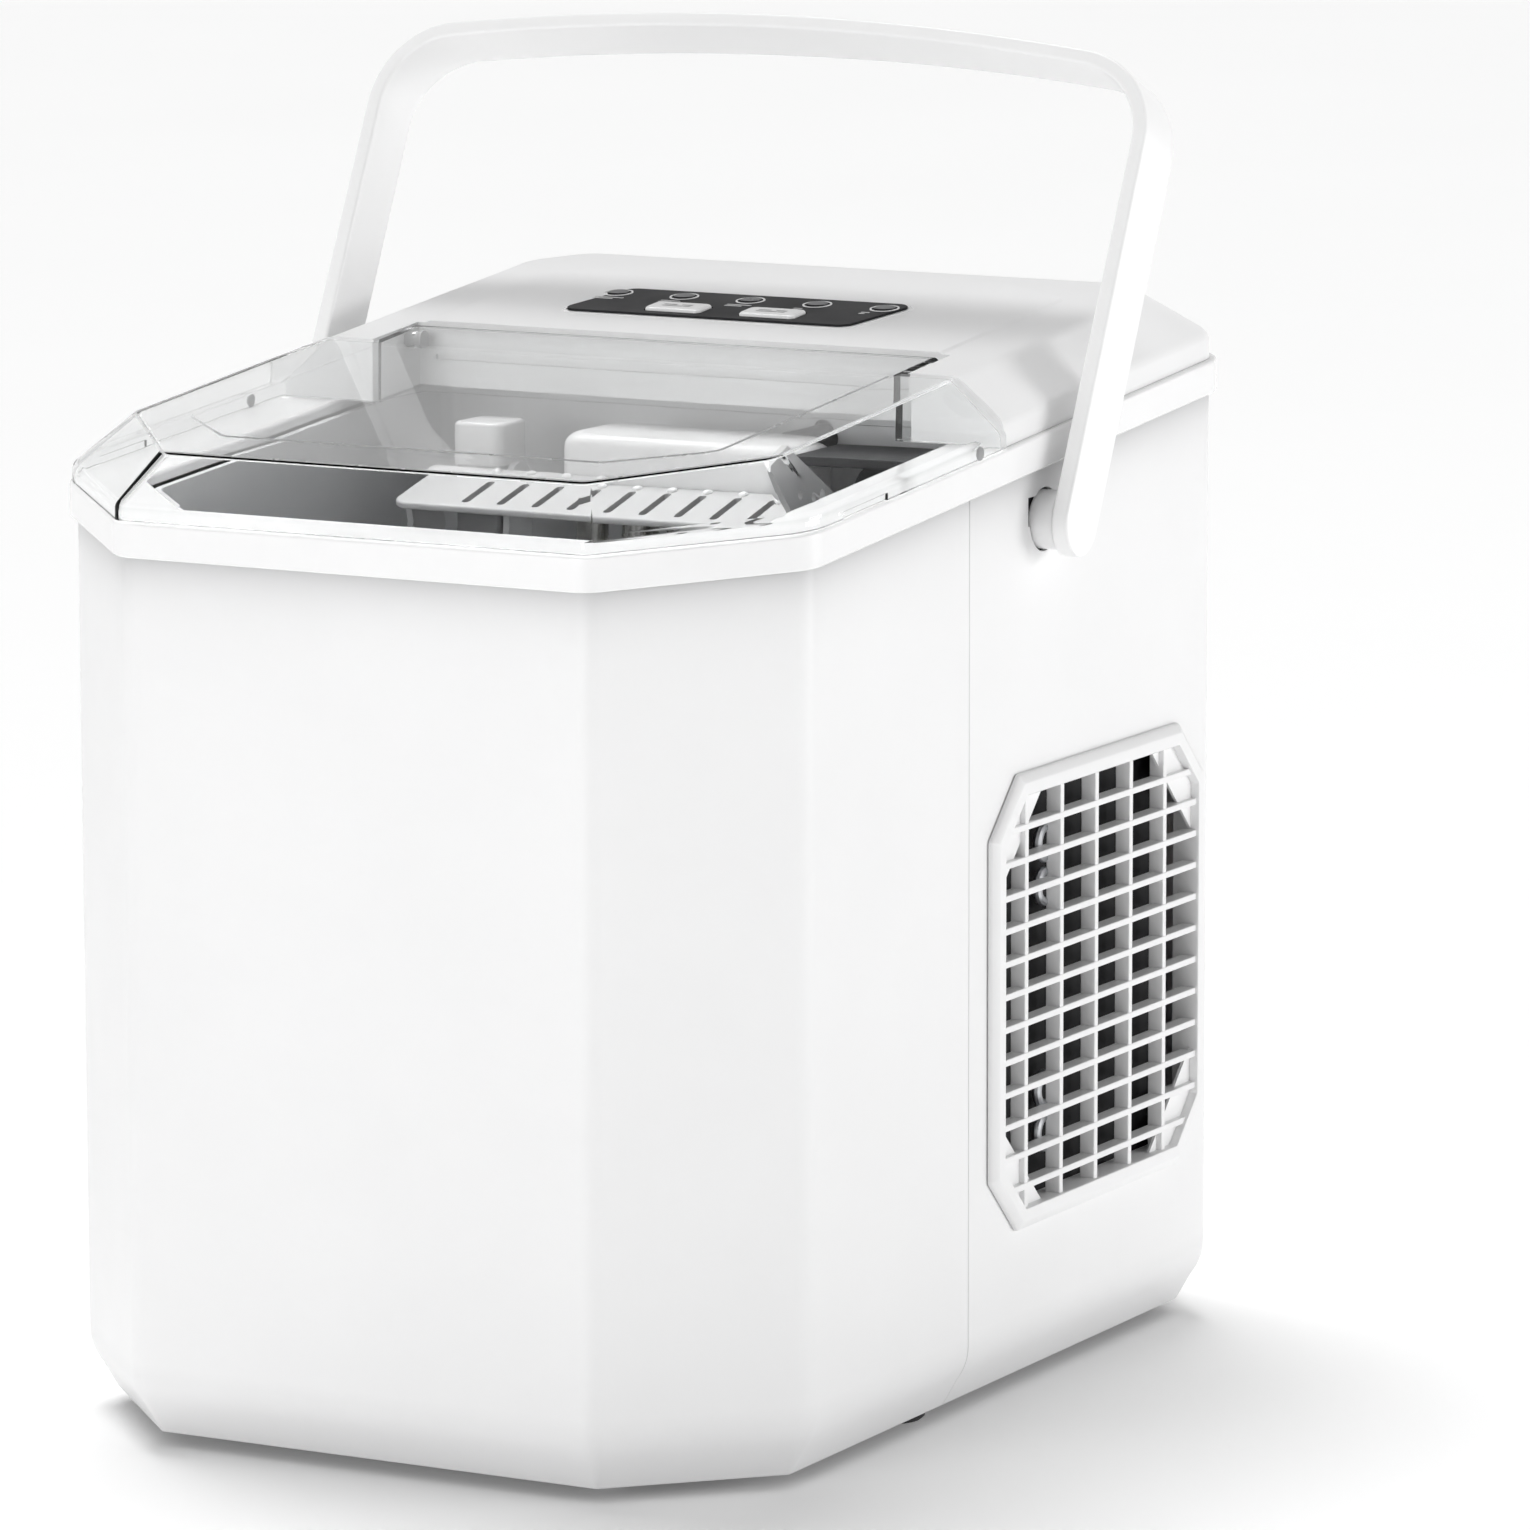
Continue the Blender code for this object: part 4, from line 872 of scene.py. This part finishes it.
def make_panel():
    """Printed film in its pale border, with openings for the buttons and lights."""
    outline = panel_corners()
    film = to_object("panel_film", loft([
        raise_to(fillet(outline, FILM_ROUND, 8), over_top(GAP)),
        raise_to(fillet(outline, FILM_ROUND, 8), over_top(0.75)),
        raise_to(fillet(grow(outline, -0.15), FILM_ROUND - 0.1, 8), over_top(0.9))]))
    for x in BUTTON_X:
        cut(film, rounded_box((x, BUTTON_Y), BUTTON_SIZE, BUTTON_ROUND,
                              BUTTON_HOLE_FROM, FILM_HOLE_TO, GAP))
    for x in LIGHT_X:
        cut(film, vertical_rod(x, LIGHT_Y, LIGHT_R + GAP, LIGHT_HOLE_FROM, FILM_HOLE_TO))
    show(smooth(film), "casing", "panel_grey", ("control_panel",))
    border = to_object("panel_border", loft([
        raise_to(fillet(grow(outline, wide), FILM_ROUND + rounder, 8), over_top(lift))
        for wide, rounder, lift in ((1.3, 1.2, 0.02), (1.2, 1.1, 0.3), (0.3, 0.3, 0.3),
                                    (0.3, 0.3, 0.02))], ring=True))
    show(smooth(border), "casing", "gloss_white")


def make_buttons():
    for x, name in zip(BUTTON_X, ("button_left", "button_right")):
        corners = rectangle((x - BUTTON_SIZE[0] / 2, x + BUTTON_SIZE[0] / 2),
                            (BUTTON_Y - BUTTON_SIZE[1] / 2, BUTTON_Y + BUTTON_SIZE[1] / 2))
        loops = [raise_to(fillet(corners, BUTTON_ROUND, 6), over_top(-2.6))]
        for inwards, upwards in quarter(0.8):
            outline = fillet(grow(corners, -inwards), BUTTON_ROUND - inwards * 0.5, 6)
            loops.append(raise_to(outline, over_top(1.8 + upwards)))
        cap = to_object(f"{name}_cap", loft(loops))
        join(cap, vertical_rod(x, BUTTON_Y, 2.0, top_height(BUTTON_Y) - 5.2,
                               top_height(BUTTON_Y), 20))
        show(smooth(cap, 40), name, "gloss_white", (name,))


def ring_loops(x, y, profile, sides=40):
    loops = []
    for radius, lift in profile:
        circle = [(x + radius * math.cos(2 * math.pi * k / sides),
                   y + radius * math.sin(2 * math.pi * k / sides)) for k in range(sides)]
        loops.append(raise_to(circle, over_top(lift)))
    return loops


def make_light_rings():
    for index, x in enumerate(LIGHT_X, 1):
        profile = ((LIGHT_R + 1.0, 0.9), (LIGHT_R + 0.95, 1.05), (LIGHT_R + 0.45, 1.05),
                   (LIGHT_R + 0.4, 0.9))
        ring = to_object(f"light_ring_{index}", loft(ring_loops(x, LIGHT_Y, profile), ring=True))
        show(smooth(ring), "casing", "gloss_white")
        lens = to_object(f"light_lens_{index}", loft(ring_loops(
            x, LIGHT_Y, ((LIGHT_R - 0.2, 1.08), (LIGHT_R - 0.2, 1.2), (LIGHT_R - 0.6, 1.35)))))
        show(smooth(lens), "casing", "panel_grey", material=LENS)


def make_print():
    """Neutral marks: short bars beside the lights and on the buttons."""
    captions = bmesh.new()
    for x, width in zip(LIGHT_X, CAPTION_WIDTHS):
        for row, share in ((0.0, 1.0), (1.5, 0.7)):
            low = LIGHT_Y - LIGHT_R - 3.4 - row
            left = x - 4.0
            add_to(captions, prism(rectangle((left, left + width * share), (low, low + 0.8)),
                                   over_top(0.88), over_top(0.96)))
    show(to_object("panel_captions", captions), "casing", "panel_grey", material=PRINT)
    for x, name in zip(BUTTON_X, ("button_left", "button_right")):
        sign = bmesh.new()
        for dx, half, dy in BUTTON_BARS:
            add_to(sign, prism(rectangle((x + dx - half, x + dx + half),
                                         (BUTTON_Y + dy - 0.35, BUTTON_Y + dy + 0.35)),
                               over_top(1.78), over_top(1.86)))
        show(to_object(f"{name}_sign", sign), name, "gloss_white", material=DARK_PRINT)


# Handle

def handle_path():
    """Half of the centre line in the handle's own plane, from a leg's end to the middle."""
    half = (LEG_IN + LEG_OUT) / 2
    reach = LEG_DEPTH / 2
    path = []
    for k in range(13):
        angle = math.radians(90) * k / 12
        path.append((half, -reach * math.cos(angle), 0.0, 1.0, max(math.sin(angle), 0.06), 0.0))
    path.append((half, LEG_STRAIGHT * 0.4, 0.0, 1.0, 1.0, 0.15))
    turn = math.radians(90) - BAR_SLOPE
    for k in range(17):
        angle = turn * k / 16
        path.append((BEND_X + BEND_R * math.cos(angle), LEG_STRAIGHT + BEND_R * math.sin(angle),
                     -math.sin(angle), math.cos(angle), 1.0, 0.6 + 0.2 * k / 16))
    end_x, end_s = path[-1][:2]
    rise = math.tan(BAR_SLOPE) * end_x / 2
    for k in range(1, 15):
        t = k / 14
        path.append((end_x * (1 - t), end_s + rise * (1 - (1 - t) ** 2),
                     -end_x, 2 * rise * (1 - t), 1.0, 0.8 + 0.2 * t))
    return path


def handle_section(x, s, tx, ts, fullness, change):
    """Rounded rectangular section square to the path, turned back by the handle's lean."""
    widening = max(0.0, change - 0.6) / 0.4
    depth = (LEG_DEPTH + (GRIP_DEPTH - LEG_DEPTH) * widening) * fullness
    thick = (LEG_OUT - LEG_IN) * (1 - change) + BAR_T * change
    corners = rectangle((-thick / 2, thick / 2), (-depth / 2, depth / 2))
    size = math.hypot(tx, ts)
    nx, ns = ts / size, -tx / size
    section = []
    for across, deep in fillet(corners, min(0.9, depth * 0.3), 4):
        along = s + ns * across
        y = PIVOT[0] + along * math.sin(LEAN) + deep * math.cos(LEAN)
        z = PIVOT[1] + along * math.cos(LEAN) - deep * math.sin(LEAN)
        section.append((x + nx * across, y, z))
    return section


def make_handle():
    right = handle_path()
    left = [(-x, s, tx, -ts, full, change) for x, s, tx, ts, full, change in right[-2::-1]]
    handle = to_object("handle_bail", loft([handle_section(*step) for step in right + left]))
    show(smooth(handle, 50), "handle", "white_plastic", ("handle",), HANDLE_WHITE_PAINTED_LIGHT)
    for side, name in ((-1, "handle_hub_left"), (1, "handle_hub_right")):
        face = LEG_IN - GAP
        profile = [(side * (HALF_W - 5), 3.9), (side * (HALF_W - 1.2), 3.9),
                   (side * (HALF_W - 1.2), HUB_R - 0.4), (side * (HALF_W - 0.8), HUB_R)]
        for k in range(5):
            angle = math.radians(90) * k / 4
            profile.append((side * (face - 1 + math.sin(angle)), HUB_R - 1 + math.cos(angle)))
        hub = to_object(f"{name}_disc", loft(disc_loops(profile, PIVOT, 48)))
        show(smooth(hub), "handle", "white_plastic", (name,))
        hub_shade_plate(side, name)


def hub_shade_plate(side, name):
    """Black plate seen through the gap round the hub and through the notch beside it: painted shade
    that makes them read as dark openings.
    """
    near, far = side * (HALF_W - 1.9), side * (HALF_W - 1.4)
    plate = to_object(f"{name}_backing", loft(disc_loops([(near, HUB_R + 2), (far, HUB_R + 2)],
                                                         PIVOT)))
    join(plate, block(sorted((near, far)), (NOTCH_Y[0] - 1.7, NOTCH_Y[1] - 2.0),
                      (NOTCH_Z[0] - 2.0, NOTCH_Z[1] + 1.8)))
    cut(plate, loft(disc_loops([(side * (HALF_W - 4), 4.4), (side * (HALF_W + 2), 4.4)], PIVOT)))
    show(smooth(plate), "casing", "black_plastic")


# Grilles

def grille_outline(offset):
    y0, y1 = GRILLE_Y
    z0, z1 = GRILLE_Z
    c = GRILLE_CUT
    corners = [(y0 + c, z0), (y1 - c, z0), (y1, z0 + c), (y1, z1 - c),
               (y1 - c, z1), (y0 + c, z1), (y0, z1 - c), (y0, z0 + c)]
    return grow(corners, offset)


def grille_frame(side):
    """Ring section: outer bevel, flat face, step down to the fins and a collar behind."""
    steps = ((0.0, 0.3), (0.0, 0.9), (-0.4, 1.6), (-2.2, 2.6), (-2.8, GRILLE_PROUD),
             (-GRILLE_FRAME + 0.3, GRILLE_PROUD), (-GRILLE_FRAME, GRILLE_PROUD - 0.4),
             (-GRILLE_FRAME, -5.0), (-GRILLE_FRAME * 0.5 - 0.4, -5.0),
             (-GRILLE_FRAME * 0.5 - 0.4, 0.3))
    loops = []
    for offset, proud in steps:
        outline = fillet(grille_outline(offset), 1.5, 4)
        loops.append([(side * (HALF_W + proud), y, z) for y, z in outline])
    return loft(loops, ring=True)


def make_grille(side, name):
    grille = to_object(f"{name}_frame", grille_frame(side))
    smooth(grille, 40)
    show(grille, "casing", "white_plastic", (name,))
    inside = grille_outline(-GRILLE_FRAME + 0.6)
    face = HALF_W + GRILLE_PROUD - 0.9
    fins = bmesh.new()
    upright, level = FIN_HALF
    for y in FIN_Y:
        add_to(fins, block(sorted((side * (face - FIN_DEPTH), side * face)),
                           (y - upright, y + upright), FIN_SPAN_Z))
    for z in FIN_Z:
        add_to(fins, block(sorted((side * (face - FIN_DEPTH), side * (face + 0.15))),
                           FIN_SPAN_Y, (z - level, z + level)))
    lattice = to_object(f"{name}_fins", fins)
    keep = side_prism(inside, sorted((side * (HALF_W - 8), side * (HALF_W + 6))))
    combine(lattice, keep, "INTERSECT")
    ease(lattice, 0.2, 2)
    smooth(lattice, 40)
    show(lattice, "casing", "white_plastic")
    corner_plates(side, name)


def add_to(target, piece):
    copy = bpy.data.meshes.new("copy")
    piece.to_mesh(copy)
    piece.free()
    target.from_mesh(copy)
    bpy.data.meshes.remove(copy)


def corner_plates(side, name):
    """Solid plates behind the lattice's four cut corners."""
    y0, y1 = GRILLE_Y
    z0, z1 = GRILLE_Z
    plates = bmesh.new()
    x_range = sorted((side * (HALF_W - 0.4), side * (HALF_W + 0.4)))
    for y, dy in ((y0, 1), (y1, -1)):
        for z, dz in ((z0, 1), (z1, -1)):
            corner = [(y, z), (y + dy * BACKING_REACH, z), (y, z + dz * BACKING_REACH)]
            add_to(plates, side_prism(corner, x_range))
    plate = to_object(f"{name}_backing", plates)
    combine(plate, side_prism(grille_outline(-GRILLE_FRAME + 0.5),
                              sorted((side * (HALF_W - 8), side * (HALF_W + 6)))), "INTERSECT")
    show(smooth(plate), "casing", "white_plastic")


# Ice mechanism

def shovel_point(x, forward, lift):
    """A point on the shovel: forward is measured up its slope from the front edge."""
    y = SHOVEL_FRONT[0] + forward * math.cos(SHOVEL_PITCH) - lift * math.sin(SHOVEL_PITCH)
    z = SHOVEL_FRONT[1] + forward * math.sin(SHOVEL_PITCH) + lift * math.cos(SHOVEL_PITCH)
    return (x, y, z)


def tilted(outline, lift):
    return [shovel_point(x, forward, lift) for x, forward in outline]


def shovel_plate():
    """Plate with rounded corners and an eased top edge."""
    corners = rectangle((-SHOVEL_X, SHOVEL_X), (0, SHOVEL_DEPTH))
    radii = [5, 5, 2, 2]
    loops = [tilted(fillet(grow(corners, -0.5), [4.5, 4.5, 1.5, 1.5]), 0.0),
             tilted(fillet(corners, radii), 0.5)]
    for inwards, upwards in quarter(0.9):
        inner = [radius - inwards for radius in radii]
        loops.append(tilted(fillet(grow(corners, -inwards), inner), 2.0 + upwards))
    return to_object("shovel_plate", loft(loops))


def make_shovel():
    """Slotted plate with a flange down each side, its drive arm, and a bead at each slot."""
    shovel = shovel_plate()
    slots_x = [SLOT_MIDDLE + (k - (SHOVEL_SLOTS - 1) / 2) * SLOT_PITCH
               for k in range(SHOVEL_SLOTS)]
    for x in slots_x:
        slot = fillet(rectangle((x - 1.2, x + 1.2), (3.5, SHOVEL_DEPTH - 4.5)), 1.15, 6)
        cut(shovel, loft([tilted(slot, -4.0), tilted(slot, 6.0)]))
    for side in (-1, 1):
        flange = rectangle(sorted((side * (SHOVEL_X - 1.8), side * SHOVEL_X)), (8, SHOVEL_DEPTH))
        join(shovel, loft([tilted(flange, -SHOVEL_FLANGE), tilted(flange, 0.6)]))
    join(shovel, side_prism(DRIVE_ARM, (SHOVEL_X - 1.8, SHOVEL_X)))
    for centre in DRIVE_HOLES:
        cut(shovel, loft(disc_loops([(SHOVEL_X - 4, 1.5), (SHOVEL_X + 2, 1.5)], centre, 24)))
    show(smooth(shovel, 40), "shovel", "white_plastic", ("ice_shovel",), SHOVEL_WHITE_PAINTED_SHADE)
    make_beads(slots_x, SHOVEL_DEPTH - 2.4)


def make_beads(slots_x, forward):
    """Small domes on the shovel, one at the end of each slot."""
    beads = bmesh.new()
    for x in slots_x:
        rings = []
        for radius, lift in ((1.5, 1.9), (1.4, 2.3), (0.9, 2.7), (0.2, 2.85)):
            circle = [(x + radius * math.cos(math.radians(30 * k)),
                       forward + radius * math.sin(math.radians(30 * k))) for k in range(12)]
            rings.append(tilted(circle, lift))
        add_to(beads, loft(rings))
    show(smooth(to_object("shovel_beads", beads), 60), "shovel", "white_plastic")


def make_bearing_cap():
    """White hood over the grey post that carries the tray's left end."""
    corners = grow(rectangle(POST_X, POST_Y), 0.5)
    loops = [raise_to(fillet(corners, 3.5, 8), CAP_FOOT)]
    for inwards, upwards in quarter(1.2):
        outline = fillet(grow(corners, -inwards), 3.5 - inwards * 0.5, 8)
        loops.append(raise_to(outline, CAP_SHOULDER + upwards))
    show(smooth(to_object("bearing_cap", loft(loops))), "casing", "white_plastic")


def make_evaporator_cover():
    y = TRAY_AXIS[0]
    left, right = EVAPORATOR_X
    corners = rectangle((left - 2, right + 2), (y - 16, y + 16))
    loops = [raise_to(fillet(corners, 7.0, 10), HOOD_FOOT)]
    for inwards, upwards in quarter(4.0, 6):
        outline = fillet(grow(corners, -inwards), 7.0 - inwards * 0.7, 10)
        loops.append(raise_to(outline, COVER_TOP + upwards))
    cover = to_object("evaporator_hood", loft(loops))
    show(smooth(cover, 50), "casing", "white_plastic", ("evaporator_cover",))


def bend_loops(y, z, radius, tube, steps=10, sides=10):
    """Half of a ring of tube lying along the side wall, open towards the rear."""
    loops = []
    for k in range(steps + 1):
        angle = math.radians(90) + math.radians(180) * k / steps
        loop = []
        for i in range(sides):
            turn = 2 * math.pi * i / sides
            reach = radius + tube * math.cos(turn)
            loop.append((tube * math.sin(turn), y + reach * math.cos(angle),
                         z + reach * math.sin(angle)))
        loops.append(loop)
    return loops


def make_return_bends():
    """Bright bends of the condenser's pipework, just inside the right grille."""
    bends = bmesh.new()
    for z in BEND_HEIGHTS:
        loops = [[(x + HALF_W - 3.2, y, height) for x, y, height in loop]
                 for loop in bend_loops(29.0, z, 4.2, 1.4)]
        add_to(bends, loft(loops))
    show(smooth(to_object("return_bends", bends)), "casing", "steel")


# Carried-over nodes

def dress_carried_nodes():
    """Gives every CAD node its finish, welds its seams and eases its edges."""
    slots = {entry["node"]: entry["material_slot"] for entry in frame["record"]["subparts"]}
    for node, obj in frame["nodes"].items():
        for slot in obj.material_slots:
            slot.material = POST_GREY_PAINTED_SHADE if node == "tray_bearing" else MATERIALS[slots[node]]
        weld = obj.modifiers.new("weld", "WELD")
        weld.merge_threshold = 1e-6
        ease(obj, 0.4, 2, 40)
        weighted = obj.modifiers.new("weighted", "WEIGHTED_NORMAL")
        weighted.weight = 90


# Stage

def make_stage():
    bm = bmesh.new()
    reach = 30000.0
    face = [bm.verts.new((x, y, -FOOT_H)) for x, y in
            ((-reach, -reach), (reach, -reach), (reach, reach), (-reach, reach))]
    bm.faces.new(face)
    floor = to_object("floor", bm)
    material = new_material("pale floor")
    tint(material, spread(material, noise(material, 3), 0, 1), (0.965, 0.965, 0.965),
         (0.955, 0.955, 0.955))
    dial(shader_of(material), Emission_Color=(1, 1, 1, 1), Emission_Strength=FLOOR_GLOW,
         Roughness=0.6, Specular_IOR_Level=0.1)
    floor.data.materials.append(material)


def make_world():
    world = bpy.data.worlds.new("studio")
    bpy.context.scene.world = world
    world.use_nodes = True
    nodes = world.node_tree.nodes
    links = world.node_tree.links
    background = nodes["Background"]
    dial(background, Color=(1, 1, 1, 1))
    place = nodes.new("ShaderNodeTexCoord")
    parts = nodes.new("ShaderNodeSeparateXYZ")
    links.new(place.outputs["Generated"], parts.inputs["Vector"])
    height = nodes.new("ShaderNodeMapRange")
    height.interpolation_type = "SMOOTHSTEP"
    dial(height, From_Min=0.05, From_Max=0.75, To_Min=HORIZON_LIGHT, To_Max=ZENITH_LIGHT)
    links.new(parts.outputs["Z"], height.inputs["Value"])
    links.new(height.outputs["Result"], background.inputs["Strength"])


def area_light(name, place, size, power):
    data = bpy.data.lights.new(name, "AREA")
    data.shape = "RECTANGLE"
    data.size, data.size_y = size
    data.energy = power
    lamp = bpy.data.objects.new(name, data)
    bpy.context.scene.collection.objects.link(lamp)
    lamp.location = place
    direction = Vector(BOX_TARGET) - Vector(place)
    lamp.rotation_mode = "QUATERNION"
    lamp.rotation_quaternion = direction.to_track_quat("-Z", "Y")


def key_light():
    """Broad soft light from above, a little behind and to the left."""
    data = bpy.data.lights.new("overhead", "SUN")
    data.energy = KEY_STRENGTH
    data.angle = math.radians(KEY_SPREAD)
    lamp = bpy.data.objects.new("overhead", data)
    bpy.context.scene.collection.objects.link(lamp)
    lamp.rotation_mode = "QUATERNION"
    lamp.rotation_quaternion = Vector(KEY_AIM).to_track_quat("-Z", "Y")


def make_camera():
    a, e, roll = CAMERA_TURN, CAMERA_DIP, CAMERA_ROLL
    forward = Vector((-math.sin(a) * math.cos(e), math.cos(a) * math.cos(e), -math.sin(e)))
    right = Vector((math.cos(a), math.sin(a), 0))
    up = right.cross(forward)
    turned_right = right * math.cos(roll) + up * math.sin(roll)
    turned_up = up * math.cos(roll) - right * math.sin(roll)
    data = bpy.data.cameras.new("camera")
    data.lens = CAMERA_LENS
    data.sensor_width = SENSOR
    data.clip_end = 100
    camera = bpy.data.objects.new("camera", data)
    bpy.context.scene.collection.objects.link(camera)
    axes = Matrix((turned_right, turned_up, -forward)).transposed()
    camera.matrix_world = Matrix.Translation(CAMERA_PLACE) @ axes.to_4x4()
    bpy.context.scene.camera = camera


make_camera()
dress_carried_nodes()
make_shells()
make_rim()
make_lid()
make_housing()
make_panel()
make_buttons()
make_light_rings()
make_print()
make_handle()
make_grille(-1, "grille_left")
make_grille(1, "grille_right")
make_shovel()
make_bearing_cap()
make_evaporator_cover()
make_return_bends()
make_stage()
make_world()
key_light()
area_light("front box", *FRONT_BOX)
area_light("right box", *RIGHT_BOX)
bpy.context.scene.view_settings.view_transform = "Standard"
